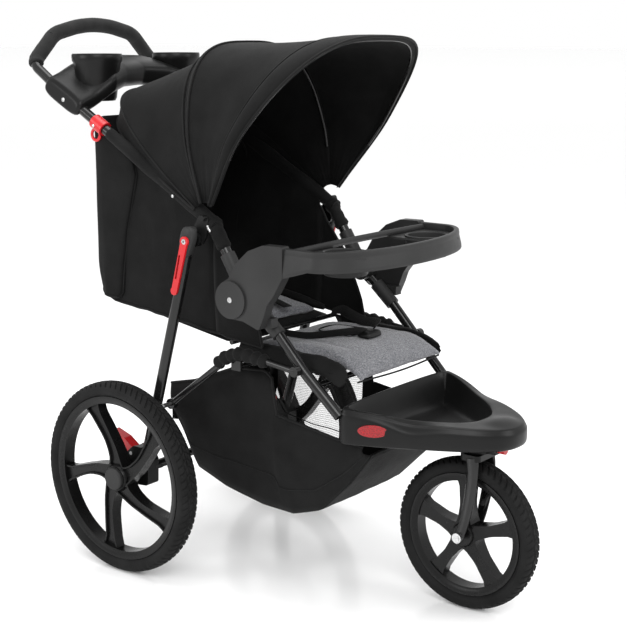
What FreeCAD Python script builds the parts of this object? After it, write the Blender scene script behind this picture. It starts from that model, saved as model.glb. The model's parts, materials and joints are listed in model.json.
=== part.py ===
"""Three-wheel folding jogging stroller, as separate sub-parts. Millimetres.

Origin on the ground under the middle of the bounding box. +Z up, -Y is the front, X is left-right.
Side-view places are (y, z) pairs. Paired pieces are made once per side, left being -X.
"""
import FreeCAD, Part
import math
import os

V = FreeCAD.Vector
X_AXIS = V(1, 0, 0)
Y_AXIS = V(0, 1, 0)
Z_AXIS = V(0, 0, 1)
SIDES = {"left": -1, "right": 1}
GAP = 0.4                       # clearance between pieces that move past each other
RUNNING = 0.05                  # radial clearance of a pin in its bore

# Wheels
REAR_RADIUS = 203.0
REAR_TRACK = 281.0              # half the distance between the rear tyres' middles
REAR_AXLE = (234.0, REAR_RADIUS)
FRONT_RADIUS = 152.5
FRONT_AXLE = (-437.0, FRONT_RADIUS)
TYRE_WIDTH = 46.0
TYRE_DEPTH = 32.0
AXLE_PIN = 6.0                  # radius of every wheel spindle

# Frame pivots in side view
HUB = (-41.0, 605.0)            # upper frame to front frame
LEG_PIVOT = (74.0, 708.0)       # rear leg to upper frame
BRACE_PIVOT = (149.0, 360.0)    # brace to rear leg
BRACE_FRONT = (-176.0, 478.0)   # free end of the brace, beside the front tube
CANOPY_PIVOT = (54.0, 752.0)
RECLINE_PIVOT = (20.0, 500.0)
BRAKE_PIVOT = (238.0, 244.0)
SWIVEL_Y = -456.0               # vertical swivel axis of the front wheel

# Frame planes and tubes
FRONT_TUBE_X = 193.0
UPPER_TUBE_X = 194.0
BRACE_X = 212.0
LEG_X = 231.0
TUBE_R = 11.0
FRONT_TUBE_R = 10.5
BRACE_R = 6.8
PIVOT_R = 5.0
FRONT_BENDS = [150, 260]
CROSS_BAR = (-205.0, 449.0)     # between the front tubes
SEAT_BAR = (-20.0, 460.0)       # between the braces, under the seat base
SHELL_IN = 218.0                # inner face of the armrest shell
SHELL_OUT = 240.0

# Handle and console
TUBE_BEND = (44.0, 742.0)
CONSOLE_LOW = (431.0, 957.0)
CONSOLE_MID = (468.0, 979.0)
HANDLE_Y = 573.0
HANDLE_CORNER_X = 181.0
HANDLE_CORNER_Z = 1043.0
HANDLE_TOP_Z = 1131.0
GRIP_R = 16.5
HANDLE_BENDS = [34, 60, 320, 60, 34]
CUP_X = 122.0
CUP_Y = 436.0
CUP_RIM_Z = 1064.0
CUP_R = 44.0

# Canopy bows: angle forward of vertical, height above the pivot axis, half width
REAR_BOW = (-54.0, 392.0, 207.6)
MID_BOW = (0.0, 343.0, 207.6)
VISOR_BACK = (1.0, 350.0, 218.6)
VISOR_FRONT = (35.0, 413.0, 218.6)
SKIN = 2.0
BOW_INSET = 7.0                 # the bow rods' middle lines, inside the skins' outer faces
HEM_START = 30.0                # the skins stop this far from the pivot axis
MID_EYE = (211.4, 214.0)        # flat eyes of the two bows, side by side on the canopy stud
FRONT_EYE = (214.4, 217.0)

# Seat
SEAT_HALF = 178.0
SEAT_FRONT_Y = -262.0
SEAT_Z = 470.0
PAD_HALF = 148.0
BACK_LENGTH = 335.0
BACK_ANGLE = 9.0                # reclined backrest, above horizontal

# Child tray
TRAY_BACK_Y = -167.6
TRAY_TOP_Z = 716.0
TRAY_CUP_R = 40.0

# Footrest
FOOT_REAR_Y = -247.0
FOOT_NOSE_Y = -550.0
FOOT_SQUARE = 40.0              # length of the parallel part behind the taper
FOOT_HALF = 190.0
FOOT_NOSE_HALF = 52.0
FOOT_LOW = 345.0
FOOT_HIGH = 417.0


# ---- helpers ----------------------------------------------------------------------------------
def save(shape, node):
    shape.exportStep("parts/" + node + ".step")


def at(x, place):
    return V(x, place[0], place[1])


def rod_x(radius, x_from, x_to, place):
    """A cylinder along X between two x values, centred on a side-view place."""
    low = min(x_from, x_to)
    return Part.makeCylinder(radius, abs(x_to - x_from), at(low, place), X_AXIS)


def box(x, y, z):
    """A box from three (low, high) pairs."""
    size = [high - low for low, high in (x, y, z)]
    return Part.makeBox(size[0], size[1], size[2], V(x[0], y[0], z[0]))


def span(a, b):
    return (min(a, b), max(a, b))


def rod(radius, start, end):
    run = end - start
    return Part.makeCylinder(radius, run.Length, start, run)


def path(points, bends):
    """Straight runs joined by tangent arcs. bends holds one radius per inner point."""
    edges = []
    last = points[0]
    for i, bend in enumerate(bends):
        before = (points[i] - points[i + 1]).normalize()
        after = (points[i + 2] - points[i + 1]).normalize()
        half = before.getAngle(after) / 2
        back = bend / math.tan(half)
        first = points[i + 1] + before * back
        second = points[i + 1] + after * back
        middle = (before + after).normalize()
        top = points[i + 1] + middle * (bend / math.sin(half) - bend)
        edges.append(Part.LineSegment(last, first).toShape())
        edges.append(Part.Arc(first, top, second).toShape())
        last = second
    edges.append(Part.LineSegment(last, points[-1]).toShape())
    return Part.Wire(edges)


def tube(points, bends, radius):
    """A round bar along a bent path."""
    line = path(points, bends)
    start = points[0]
    ring = Part.Wire(Part.makeCircle(radius, start, points[1] - start))
    return line.makePipeShell([ring], True, False)


def plate(outline, x_from, x_to):
    """A side-view outline of (y, z) points, extruded along X."""
    low, high = span(x_from, x_to)
    points = [at(low, p) for p in outline]
    face = Part.Face(Part.makePolygon(points + points[:1]))
    return face.extrude(V(high - low, 0, 0))


def round_plate(outline, radius, x_from, x_to):
    """The same, with its corners rounded."""
    solid = plate(outline, x_from, x_to)
    edges = [e for e in solid.Edges if abs(e.tangentAt(e.FirstParameter).x) > 0.99]
    return solid.makeFillet(radius, edges)


def turned(profile, centre, axis):
    """Revolve (radius, along) points a full turn about the axis through centre."""
    along = V(axis)
    across = V(0, 0, 1) if abs(axis.z) < 0.5 else V(1, 0, 0)
    points = [centre + across * r + along * d for r, d in profile]
    face = Part.Face(Part.makePolygon(points + points[:1]))
    return face.revolve(centre, along, 360)


# ---- wheels -----------------------------------------------------------------------------------
def tyre(radius, centre):
    """A ring with a crowned tread, flat sides and a flat seat on the rim."""
    half = TYRE_WIDTH / 2
    seat = radius - TYRE_DEPTH
    profile = [(seat, -half + 6), (seat + 8, -half), (radius - 10, -half), (radius - 2, -half + 9)]
    profile += [(radius, -5), (radius, 5)]
    profile += [(radius - 2, half - 9), (radius - 10, half), (seat + 8, half), (seat, half - 6)]
    return turned(profile, centre, X_AXIS)


def rim(radius, centre, hub_radius, hub_half, bend, phase):
    """Rim band, five spokes and a bored hub, as one moulding. The spokes start at the phase angle."""
    outer = radius - TYRE_DEPTH
    inner = outer - 13
    band = turned([(inner, -15), (outer, -16), (outer, 16), (inner, 15)], centre, X_AXIS)
    hub = Part.makeCylinder(hub_radius, 2 * hub_half, centre - X_AXIS * hub_half, X_AXIS)
    wheel = band.fuse(hub)
    reach = inner + 4
    for i in range(5):
        wide = 15.0
        root = [V(-10, -wide, hub_radius - 6), V(10, -wide, hub_radius - 6)]
        root += [V(10, wide, hub_radius - 6), V(-10, wide, hub_radius - 6)]
        tip = [V(-8, bend - wide, reach), V(8, bend - wide, reach)]
        tip += [V(8, bend + wide, reach), V(-8, bend + wide, reach)]
        ends = [Part.makePolygon(side + side[:1]) for side in (root, tip)]
        spoke = Part.makeLoft(ends, True, True)
        spoke.rotate(V(0, 0, 0), X_AXIS, 72 * i - phase)
        spoke.translate(centre)
        wheel = wheel.fuse(spoke)
    bore = Part.makeCylinder(AXLE_PIN + RUNNING, 4 * hub_half, centre - X_AXIS * 2 * hub_half, X_AXIS)
    return wheel.cut(bore).removeSplitter()


def rear_wheels():
    for name, side in SIDES.items():
        centre = at(side * REAR_TRACK, REAR_AXLE)
        save(tyre(REAR_RADIUS, centre), "rear_tyre_" + name)
        save(rim(REAR_RADIUS, centre, 27, 18, -16, 24), "rear_rim_" + name)
        face = side * (REAR_TRACK + 18 + 0.2)
        cap = rod_x(24, face, face + side * 8, REAR_AXLE)
        outer = [e for e in cap.Edges if abs(e.BoundBox.Center.x - face - side * 8) < 0.1]
        save(cap.makeFillet(4, outer), "hub_cap_" + name)


def front_wheel():
    centre = at(0, FRONT_AXLE)
    save(tyre(FRONT_RADIUS, centre), "front_tyre")
    save(rim(FRONT_RADIUS, centre, 22, 22, 0, 0), "front_rim")


# ---- rear frame ---------------------------------------------------------------------------------
def rear_frame():
    """Cross axle, legs, and the knuckles at both ends of each leg."""
    foot = (212.0, 228.0)
    pins = []
    knuckles = []
    housings = []
    axle = rod_x(9, -249, 249, REAR_AXLE)
    spindle = rod_x(AXLE_PIN, -REAR_TRACK - 17.5, REAR_TRACK + 17.5, REAR_AXLE)
    save(axle.fuse(spindle), "rear_axle")
    for name, side in SIDES.items():
        inner = side * (LEG_X - TUBE_R - 1)
        top = at(side * LEG_X, LEG_PIVOT)
        low = at(side * LEG_X, foot)
        down = (low - top).normalize()
        leg = rod(TUBE_R, top + down * 24, low)
        pin = rod_x(PIVOT_R, side * (BRACE_X - BRACE_R - 2), side * (LEG_X + 9), BRACE_PIVOT)
        leg = leg.cut(rod_x(PIVOT_R + 0.02, side * 190, side * (LEG_X + 9), BRACE_PIVOT))
        save(leg, "rear_leg_" + name)
        pins.append(pin)
        outline = [(40, 690), (62, 742), (96, 742), (106, 684), (92, 672), (76, 672)]
        knuckle = round_plate(outline, 6, inner, side * 243)
        knuckle = knuckle.cut(rod_x(PIVOT_R + RUNNING, side * 190, side * 250, LEG_PIVOT))
        knuckle = knuckle.cut(rod(TUBE_R + 0.05, top + down * 23.95, low))
        knuckles.append(knuckle)
        shape = [(190, 182), (188, 236), (206, 262), (230, 262), (262, 236), (266, 190), (250, 176)]
        housing = round_plate(shape, 7, side * (LEG_X - 15), side * (LEG_X + 17))
        housing = housing.cut(rod(TUBE_R + 0.05, top, low))
        housing = housing.cut(rod_x(9.05, -260, 260, REAR_AXLE))
        slot = box(span(side * 220, side * 244), (226, 275), (232, 270))
        brake_pin = rod_x(4, side * (LEG_X - 15), side * (LEG_X + 17), BRAKE_PIVOT)
        pins.append(brake_pin)
        housings.append(housing.cut(slot).cut(rod_x(4.02, -260, 260, BRAKE_PIVOT)))
    save(Part.makeCompound(pins), "pivot_pins")
    save(Part.makeCompound(knuckles), "leg_knuckles")
    save(Part.makeCompound(housings), "axle_housings")


def brake_pedals():
    """A red foot lever in the slot of each axle housing."""
    for name, side in SIDES.items():
        x = span(side * 221, side * 243)
        arm = [(232, 237), (232, 252), (262, 272), (300, 284), (302, 276), (270, 258), (250, 237)]
        pedal = round_plate(arm, 2.5, x[0], x[1])
        save(pedal.cut(rod_x(4 + RUNNING, -260, 260, BRAKE_PIVOT)), "brake_pedal_" + name)


def side_latches():
    """A red slotted hook outside each rear leg."""
    for name, side in SIDES.items():
        low = (104.0, 606.0)
        x = span(side * 243.4, side * 248)
        bar = plate([(66, 706), (82, 710), (110, 608), (96, 604)], x[0], x[1])
        hook = bar.fuse(rod_x(10, x[0], x[1], LEG_PIVOT)).fuse(rod_x(8, x[0], x[1], low))
        slot = plate([(84, 680), (88, 681), (100, 632), (96, 631)], side * 230, side * 260)
        hook = hook.cut(slot).cut(rod_x(PIVOT_R + RUNNING, side * 230, side * 260, LEG_PIVOT))
        save(hook.removeSplitter(), "side_latch_" + name)


def basket():
    """An open fabric box under the seat, deeper in the middle and raised at the front."""
    outer = [(200, 372), (150, 196), (-110, 158), (-180, 172)]
    outer += [(-300, 300), (-304, 336), (-228, 338), (-222, 362)]
    inner = [(195, 380), (147, 200), (-110, 162), (-177, 176)]
    inner += [(-296, 301), (-299, 333), (-224, 334), (-217, 380)]
    bag = plate(outer, -168, 168)
    save(bag.cut(plate(inner, -164, 164)), "basket")


# ---- upper frame --------------------------------------------------------------------------------
def upper_path(side):
    """Hub, bend and console end of the tube on one side."""
    return [at(side * UPPER_TUBE_X, HUB), at(side * UPPER_TUBE_X, TUBE_BEND), at(side * 187, CONSOLE_MID)]


def handle_path():
    """From console to console over the arched grip."""
    down = (at(187, CONSOLE_MID) - at(UPPER_TUBE_X, TUBE_BEND)).normalize()
    right = [at(187, CONSOLE_MID) + down * 1.2, V(HANDLE_CORNER_X, HANDLE_Y, HANDLE_CORNER_Z)]
    right.append(V(118, HANDLE_Y, 1106))
    left = [V(-p.x, p.y, p.z) for p in reversed(right)]
    return right + [V(0, HANDLE_Y, HANDLE_TOP_Z + 4)] + left


def upper_frame():
    """Tubes with their hub sleeves and leg pivots, and the handle arch with its foam."""
    sleeves = []
    pivots = []
    for name, side in SIDES.items():
        points = upper_path(side)
        steep = (points[1] - points[0]).normalize()
        start = points[0] + steep * 30
        save(tube([start] + points[1:], [60], TUBE_R), "upper_tube_" + name)
        end = points[0] + steep * 92
        sleeve = rod(TUBE_R + 4, points[0], end)
        eye = rod_x(22, side * (UPPER_TUBE_X - 12), side * (SHELL_IN - GAP), HUB)
        sleeve = sleeve.fuse(eye).cut(rod(TUBE_R + 0.05, points[0] + steep * 29.9, end + steep))
        sleeve = sleeve.cut(rod_x(PIVOT_R + RUNNING, side * 150, side * 260, HUB))
        sleeves.append(sleeve.removeSplitter())
        inner = side * (UPPER_TUBE_X + TUBE_R + 0.3)
        bar = plate([(58, 700), (48, 716), (42, 752), (66, 757), (92, 716), (84, 698)], inner, side * 211)
        boss = rod_x(14, inner, side * (LEG_X - TUBE_R - 1 - GAP), LEG_PIVOT)
        pin = rod_x(PIVOT_R, inner, side * 249, LEG_PIVOT)
        stud = rod_x(6, inner, side * 217.4, CANOPY_PIVOT)
        pivots.append(bar.fuse(boss).fuse(pin).fuse(stud).removeSplitter())
    save(Part.makeCompound(sleeves), "upper_sleeves")
    save(Part.makeCompound(pivots), "leg_pivots")
    points = handle_path()
    save(tube(points, HANDLE_BENDS, TUBE_R), "handle_bar")
    foam = tube(points, HANDLE_BENDS, GRIP_R)
    core = tube(points, HANDLE_BENDS, TUBE_R + 0.1)
    keep = box((-250, 250), (HANDLE_Y - 60, HANDLE_Y + 60), (HANDLE_CORNER_Z - 6, 1200))
    save(foam.cut(core).common(keep), "foam_grip")


def console():
    """A moulded shelf between the tubes with two cup holders and a raised middle."""
    low = CONSOLE_LOW
    side_view = [(low[0] - 4, low[1] - 20), (low[0] - 22, low[1] + 6), (low[0] - 14, low[1] + 30)]
    side_view += [(500, 1026), (520, 1016), (512, 1000), (450, 960)]
    body = round_plate(side_view, 7, -203, 203)
    hump = plate([(420, 985), (412, 1010), (436, 1048), (478, 1050), (505, 1015), (470, 990)], -72, 72)
    body = body.fuse(hump)
    for side in SIDES.values():
        cup = Part.makeCone(CUP_R - 5, CUP_R, CUP_RIM_Z - 965, V(side * CUP_X, CUP_Y, 965), Z_AXIS)
        body = body.fuse(cup)
    for side in SIDES.values():
        well = Part.makeCone(CUP_R - 9, CUP_R - 4, 95, V(side * CUP_X, CUP_Y, 970), Z_AXIS)
        body = body.cut(well)
        points = upper_path(side)
        line = (points[2] - points[1]).normalize()
        body = body.cut(rod(TUBE_R + 0.1, points[2] - line * 200, points[2] + line * 140))
    under = plate([(425, 900), (425, 950), (436, 960), (520, 1004), (560, 1004), (560, 900)], -170, 170)
    body = body.cut(under.common(box((-74, 74), (400, 600), (900, 1030))))
    body = body.cut(tube(handle_path(), HANDLE_BENDS, TUBE_R + 0.1))
    save(body.removeSplitter(), "parent_console")


def fold_triggers():
    """A red collar with a finger ring that slides up each upper tube."""
    for name, side in SIDES.items():
        points = upper_path(side)
        line = (points[2] - points[1]).normalize()
        centre = points[2] - line * 122
        collar = rod(TUBE_R + 4.5, centre - line * 17, centre + line * 17)
        down = line.cross(X_AXIS).normalize()
        if down.z > 0:
            down = down * -1
        ring_at = centre + down * 24 + line * 2
        ring = Part.makeTorus(12, 3.2, ring_at, X_AXIS)
        trigger = collar.fuse(ring).cut(rod(TUBE_R + GAP, centre - line * 60, centre + line * 60))
        save(trigger.removeSplitter(), "fold_trigger_" + name)


# ---- canopy -------------------------------------------------------------------------------------
def bow_points(bow, inset):
    """Points of a squared arch in the bow's plane, from the right hem over the top to the left."""
    angle, height, half = bow
    lean = math.radians(angle)
    tall = height - inset
    wide = half - inset
    first = math.asin((HEM_START / tall) ** (1 / 0.72))
    points = []
    for i in range(25):
        t = first + (math.pi - 2 * first) * i / 24
        rise = tall * math.sin(t) ** 0.72
        x = math.copysign(wide * abs(math.cos(t)) ** 0.62, math.cos(t))
        back, up = CANOPY_PIVOT
        points.append(V(x, back - rise * math.sin(lean), up + rise * math.cos(lean)))
    return points


def spline(points):
    curve = Part.BSplineCurve()
    curve.interpolate(points)
    return curve.toShape()


def gore(back, front):
    """A skin between two bow planes."""
    rings = []
    for bow in (back, front):
        outer = bow_points(bow, 0)
        inner = bow_points(bow, SKIN)
        inner.reverse()
        edges = [spline(outer), Part.LineSegment(outer[-1], inner[0]).toShape()]
        edges += [spline(inner), Part.LineSegment(inner[-1], outer[0]).toShape()]
        rings.append(Part.Wire(edges))
    return Part.makeLoft(rings, True, True)


def bow_between(back, front, angle):
    """The arch where a plane at this angle cuts the skin between two bows."""
    first, last, turn = (math.radians(a) for a in (back[0], front[0], angle))
    reach = back[1] * front[1] * math.sin(last - first)
    reach /= back[1] * math.sin(turn - first) + front[1] * math.sin(last - turn)
    return (angle, reach, back[2])


def bow_rod(bow, eye_x):
    """A bent rod just inside a skin's edge, with a wire arm and an eye on the canopy stud each side."""
    points = bow_points(bow, BOW_INSET)
    arch = Part.Wire([spline(points)])
    ring = Part.Wire(Part.makeCircle(3.2, points[0], points[1] - points[0]))
    body = arch.makePipeShell([ring], True, False)
    lean = math.radians(bow[0])
    for side in SIDES.values():
        middle = side * (eye_x[0] + eye_x[1]) / 2
        eye = rod_x(10, side * eye_x[0], side * eye_x[1], CANOPY_PIVOT)
        foot = points[0] if side > 0 else points[-1]
        centre = at(middle, CANOPY_PIVOT)
        jog = centre + V(0, -math.sin(lean), math.cos(lean)) * 15
        arm = rod(1.3, centre, jog).fuse(Part.makeSphere(1.3, jog)).fuse(rod(1.3, jog, foot))
        body = body.fuse(eye).fuse(arm)
    return body.cut(rod_x(6 + RUNNING, -300, 300, CANOPY_PIVOT))


def canopy():
    save(gore(REAR_BOW, MID_BOW), "canopy_rear")
    save(gore(VISOR_BACK, VISOR_FRONT), "canopy_visor")
    save(bow_rod(bow_between(REAR_BOW, MID_BOW, MID_BOW[0] - 3), MID_EYE), "canopy_mid_bow")
    save(bow_rod(bow_between(VISOR_BACK, VISOR_FRONT, VISOR_FRONT[0] - 2), FRONT_EYE), "canopy_front_bow")


# ---- front frame --------------------------------------------------------------------------------
def front_tube_points(side):
    x = side * FRONT_TUBE_X
    return [V(x, -64, 588), V(x, -106, 555), V(x, -182, 475), V(side * 186, -262, 398)]


def front_frame():
    """Front tubes, armrest shells on the hubs, and the hub bolts that the upper frame turns on."""
    bolts = []
    for name, side in SIDES.items():
        points = front_tube_points(side)
        save(tube(points, FRONT_BENDS, FRONT_TUBE_R), "front_tube_" + name)
        outline = [(-14, 586), (-4, 606), (-14, 634), (-34, 646), (-52, 676), (-84, 704), (-120, 718)]
        outline += [(-167, 719), (-167, 659), (-147, 626), (-130, 604), (-122, 582)]
        outline += [(-109, 553), (-70, 566), (-40, 567)]
        shell = round_plate(outline, 5, side * SHELL_IN, side * SHELL_OUT)
        socket = rod(FRONT_TUBE_R + 4, points[0] + V(0, -14, -11), points[1] + V(0, -16, -17))
        arm = box(span(side * 200, side * 220), (-124, -92), (556, 574))
        shell = shell.fuse(socket).fuse(arm).cut(tube(points, FRONT_BENDS, FRONT_TUBE_R + 0.1))
        shell = shell.cut(rod_x(PIVOT_R + 0.02, side * 150, side * 260, HUB))
        save(shell.removeSplitter(), "armrest_" + name)
        disc = rod_x(37, side * (SHELL_OUT + 0.1), side * (SHELL_OUT + 5), HUB)
        bolt = rod_x(PIVOT_R, side * (UPPER_TUBE_X - 16), side * (SHELL_OUT + 3), HUB)
        head = rod_x(9, side * (UPPER_TUBE_X - 19), side * (UPPER_TUBE_X - 15.2), HUB)
        bolts.append(disc.fuse(bolt).fuse(head).removeSplitter())
    save(Part.makeCompound(bolts), "hub_bolts")
    bar = rod_x(6, -FRONT_TUBE_X, FRONT_TUBE_X, CROSS_BAR)
    for side in SIDES.values():
        bar = bar.cut(tube(front_tube_points(side), FRONT_BENDS, FRONT_TUBE_R + 0.1))
    save(bar, "front_cross_bar")


def foot_outline(inset, z):
    rear = FOOT_REAR_Y - inset
    nose = FOOT_NOSE_Y + inset
    half = FOOT_HALF - inset * 1.3
    tip = FOOT_NOSE_HALF - inset * 0.7
    points = [V(-half, rear, z), V(half, rear, z), V(half, rear - FOOT_SQUARE, z), V(tip, nose, z)]
    points += [V(-tip, nose, z), V(-half, rear - FOOT_SQUARE, z)]
    return Part.Face(Part.makePolygon(points + points[:1]))


def footrest():
    """A deep triangular tray with a sloping rim and a solid nose over the front wheel."""
    block = foot_outline(0, FOOT_LOW).extrude(V(0, 0, FOOT_HIGH - FOOT_LOW))
    upright = [e for e in block.Edges if abs(e.tangentAt(e.FirstParameter).z) > 0.99]
    block = block.makeFillet(24, upright)
    slope = plate([(FOOT_REAR_Y - 70, 430), (FOOT_NOSE_Y - 20, 430), (FOOT_NOSE_Y - 20, 384),
                   (FOOT_REAR_Y - 150, 392), (FOOT_REAR_Y - 70, 412)], -250, 250)
    well = foot_outline(13, FOOT_LOW + 7).extrude(V(0, 0, 100))
    well = well.common(box((-200, 200), (-470, -200), (300, 500)))
    rest = block.cut(slope).cut(well)
    for side in SIDES.values():
        rest = rest.cut(tube(front_tube_points(side), FRONT_BENDS, FRONT_TUBE_R + 0.1))
    save(rest.removeSplitter(), "footrest")
    lenses = []
    turn = math.atan2(FOOT_REAR_Y - FOOT_SQUARE - FOOT_NOSE_Y, FOOT_HALF - FOOT_NOSE_HALF)
    for side in SIDES.values():
        lens = Part.makeCylinder(15, 3, V(0, 0, 0), Z_AXIS)
        grow = FreeCAD.Matrix()
        grow.scale(1.9, 0.8, 1)
        lens = lens.transformGeometry(grow)
        lens.rotate(V(0, 0, 0), X_AXIS, 90)
        lens.rotate(V(0, 0, 0), Z_AXIS, math.degrees(turn) * side)
        x = FOOT_HALF - 45 * math.cos(turn) + 0.2
        lens.translate(V(side * x, FOOT_REAR_Y - FOOT_SQUARE - 45 * math.sin(turn), 378))
        lenses.append(lens)
    save(Part.makeCompound(lenses), "reflectors")
    collar = Part.makeCylinder(27, 22, V(0, SWIVEL_Y, FOOT_LOW - 22.2), Z_AXIS)
    nose = box((-13, 13), (SWIVEL_Y - 46, SWIVEL_Y - 10), (FOOT_LOW - 20, FOOT_LOW - 0.2))
    bore = Part.makeCylinder(7 + RUNNING, 40, V(0, SWIVEL_Y, FOOT_LOW - 40), Z_AXIS)
    collar = collar.fuse(nose).cut(bore)
    knob_hole = Part.makeCylinder(4 + RUNNING, 34, V(0, SWIVEL_Y - 60, FOOT_LOW - 11), Y_AXIS)
    save(collar.cut(knob_hole).removeSplitter(), "swivel_housing")
    knob = Part.makeCylinder(8, 14, V(0, SWIVEL_Y - 60.5, FOOT_LOW - 11), Y_AXIS)
    stem = Part.makeCylinder(4, 30, V(0, SWIVEL_Y - 58, FOOT_LOW - 11), Y_AXIS)
    save(knob.fuse(stem).removeSplitter(), "swivel_lock_knob")


def fork():
    """A crown on a vertical stem and two bent blades that hold the front wheel."""
    top = FOOT_LOW - 22.2 - GAP
    stem = Part.makeCylinder(7, 19, V(0, SWIVEL_Y, top - 1), Z_AXIS)
    crown = box((-36, 36), (SWIVEL_Y - 22, SWIVEL_Y + 22), (top - 12, top))
    upright = [e for e in crown.Edges if abs(e.tangentAt(e.FirstParameter).z) > 0.99]
    save(crown.makeFillet(10, upright).fuse(stem).removeSplitter(), "fork_crown")
    blades = []
    for side in SIDES.values():
        outline = [(SWIVEL_Y - 17, top - 12.2), (SWIVEL_Y + 17, top - 12.2), (SWIVEL_Y + 22, top - 60)]
        outline += [(-422, 152), (-432, 138), (-446, 140), (-452, 156), (SWIVEL_Y - 6, top - 62)]
        blade = round_plate(outline, 4, side * 29, side * 36)
        blades.append(blade.cut(rod_x(AXLE_PIN + 0.02, -60, 60, FRONT_AXLE)))
    save(Part.makeCompound(blades), "fork_blades")
    bolt = rod_x(AXLE_PIN, -44, 44, FRONT_AXLE)
    for side in SIDES.values():
        bolt = bolt.fuse(rod_x(10, side * 36.2, side * 43, FRONT_AXLE))
    save(bolt.removeSplitter(), "front_axle_bolt")


def tray_band(half, front, corner, z_low, z_high):
    """A D-shaped block with a square back, tapering from half way to a blunt front."""
    points = [V(-half, TRAY_BACK_Y, z_low), V(half, TRAY_BACK_Y, z_low), V(half, -230, z_low)]
    points += [V(half - corner, front, z_low), V(corner - half, front, z_low), V(-half, -230, z_low)]
    face = Part.Face(Part.makePolygon(points + points[:1]))
    solid = face.extrude(V(0, 0, z_high - z_low))
    edges = [e for e in solid.Edges if abs(e.tangentAt(e.FirstParameter).z) > 0.99]
    return solid.makeFillet(28, [e for e in edges if e.BoundBox.YMax < -200])


def child_tray():
    """A band with a rear rail and a cup well on each side, open in the middle."""
    ring = tray_band(240, -332, 90, 676, TRAY_TOP_Z)
    ring = ring.cut(tray_band(219, -312, 84, 600, 800))
    ring = ring.fuse(box((-219.5, 219.5), (TRAY_BACK_Y - 10.4, TRAY_BACK_Y), (690, TRAY_TOP_Z)))
    for side in SIDES.values():
        cup = Part.makeCylinder(TRAY_CUP_R + 4, 50, V(side * 140, -240, 662), Z_AXIS)
        well = Part.makeCylinder(TRAY_CUP_R, 60, V(side * 140, -240, 666), Z_AXIS)
        shelf = box(span(side * 92, side * 219.5), (-298, -177), (698, 702))
        ear = [(TRAY_BACK_Y, 700), (TRAY_BACK_Y, 660), (-200, 668), (-226, 678), (-226, 700)]
        ring = ring.fuse(plate(ear, side * 222, side * 240))
        ring = ring.fuse(shelf.fuse(cup).cut(well))
    save(ring.removeSplitter(), "child_tray")


# ---- seat ---------------------------------------------------------------------------------------
def seat_frame():
    for name, side in SIDES.items():
        x = side * BRACE_X
        start = at(x, BRACE_PIVOT)
        points = [start, V(x, -29, 496), at(x, BRACE_FRONT)]
        bar = tube(points, [50], BRACE_R)
        eyes = rod_x(11, x - 6.5, x + 6.5, BRACE_PIVOT).fuse(rod_x(10, x - 6.5, x + 6.5, BRACE_FRONT))
        bar = bar.fuse(eyes).cut(rod_x(PIVOT_R + RUNNING, -300, 300, BRACE_PIVOT))
        save(bar.removeSplitter(), "seat_brace_" + name)
    span_x = BRACE_X - BRACE_R - 0.1
    bar = rod_x(6, -span_x, span_x, SEAT_BAR)
    for side in SIDES.values():
        bar = bar.fuse(box(span(side * (span_x - 6), side * span_x), (-32, -8), (454, 494)))
    save(bar.removeSplitter(), "seat_cross_bar")
    board = box((-SEAT_HALF, SEAT_HALF), (SEAT_FRONT_Y, 12), (SEAT_Z, SEAT_Z + 9))
    save(board, "seat_base")
    pad = box((-PAD_HALF, PAD_HALF), (SEAT_FRONT_Y - 6, 8), (SEAT_Z + 9.4, SEAT_Z + 40))
    long_edges = [e for e in pad.Edges if e.BoundBox.ZMin > SEAT_Z + 30]
    save(pad.makeFillet(12, long_edges), "seat_pad")
    rolls = []
    for side in SIDES.values():
        across = span(side * (PAD_HALF + 0.6), side * 173)
        roll = box(across, (SEAT_FRONT_Y, 8), (SEAT_Z + 9.4, SEAT_Z + 48))
        top = [e for e in roll.Edges if e.BoundBox.ZMin > SEAT_Z + 30]
        rolls.append(roll.makeFillet(8, top))
    save(Part.makeCompound(rolls), "seat_bolsters")
    flap = box((-38, 38), (-176, -84), (SEAT_Z + 40.6, SEAT_Z + 53))
    save(flap, "crotch_pad")
    save(box((-26, 26), (-214, -178), (SEAT_Z + 40.6, SEAT_Z + 55)), "harness_buckle")


def lean_back(shape):
    shape.rotate(V(0, RECLINE_PIVOT[0], RECLINE_PIVOT[1]), X_AXIS, BACK_ANGLE)
    return shape


def backrest():
    """Board, pad and shoulder pads, drawn flat and then turned up to the reclined angle."""
    y, z = RECLINE_PIVOT
    board = box((-168, 168), (y + 2, y + BACK_LENGTH), (z - 4, z + 4))
    board = board.fuse(rod_x(8, -168, 168, RECLINE_PIVOT)).cut(rod_x(5 + RUNNING, -200, 200, RECLINE_PIVOT))
    save(lean_back(board.removeSplitter()), "backrest_board")
    save(rod_x(5, -172, 172, RECLINE_PIVOT), "backrest_hinge")
    pad = box((-PAD_HALF, PAD_HALF), (y + 22, y + BACK_LENGTH - 6), (z + 4.4, z + 30))
    edges = [e for e in pad.Edges if e.BoundBox.ZMin > z + 25]
    save(lean_back(pad.makeFillet(10, edges)), "back_pad")
    pads = []
    for side in SIDES.values():
        pads.append(lean_back(box(span(side * 20, side * 74), (y + 110, y + 290), (z + 30.6, z + 42))))
    save(Part.makeCompound(pads), "shoulder_pads")


def seat_sides():
    """Fabric gussets between the upper tubes and the seat, and the wall behind the headrest."""
    outline = [(24, 486), (360, 552), (394, 570), (394, 894), (92, 740), (40, 700)]
    outline += [(-12, 640), (-52, 545), (-62, 500)]
    panels = [plate(outline, side * 174, side * 176.5) for side in SIDES.values()]
    save(Part.makeCompound(panels), "side_gussets")
    wall = box((-173.6, 173.6), (391, 394), (572, 890))
    save(wall, "head_wall")


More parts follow.
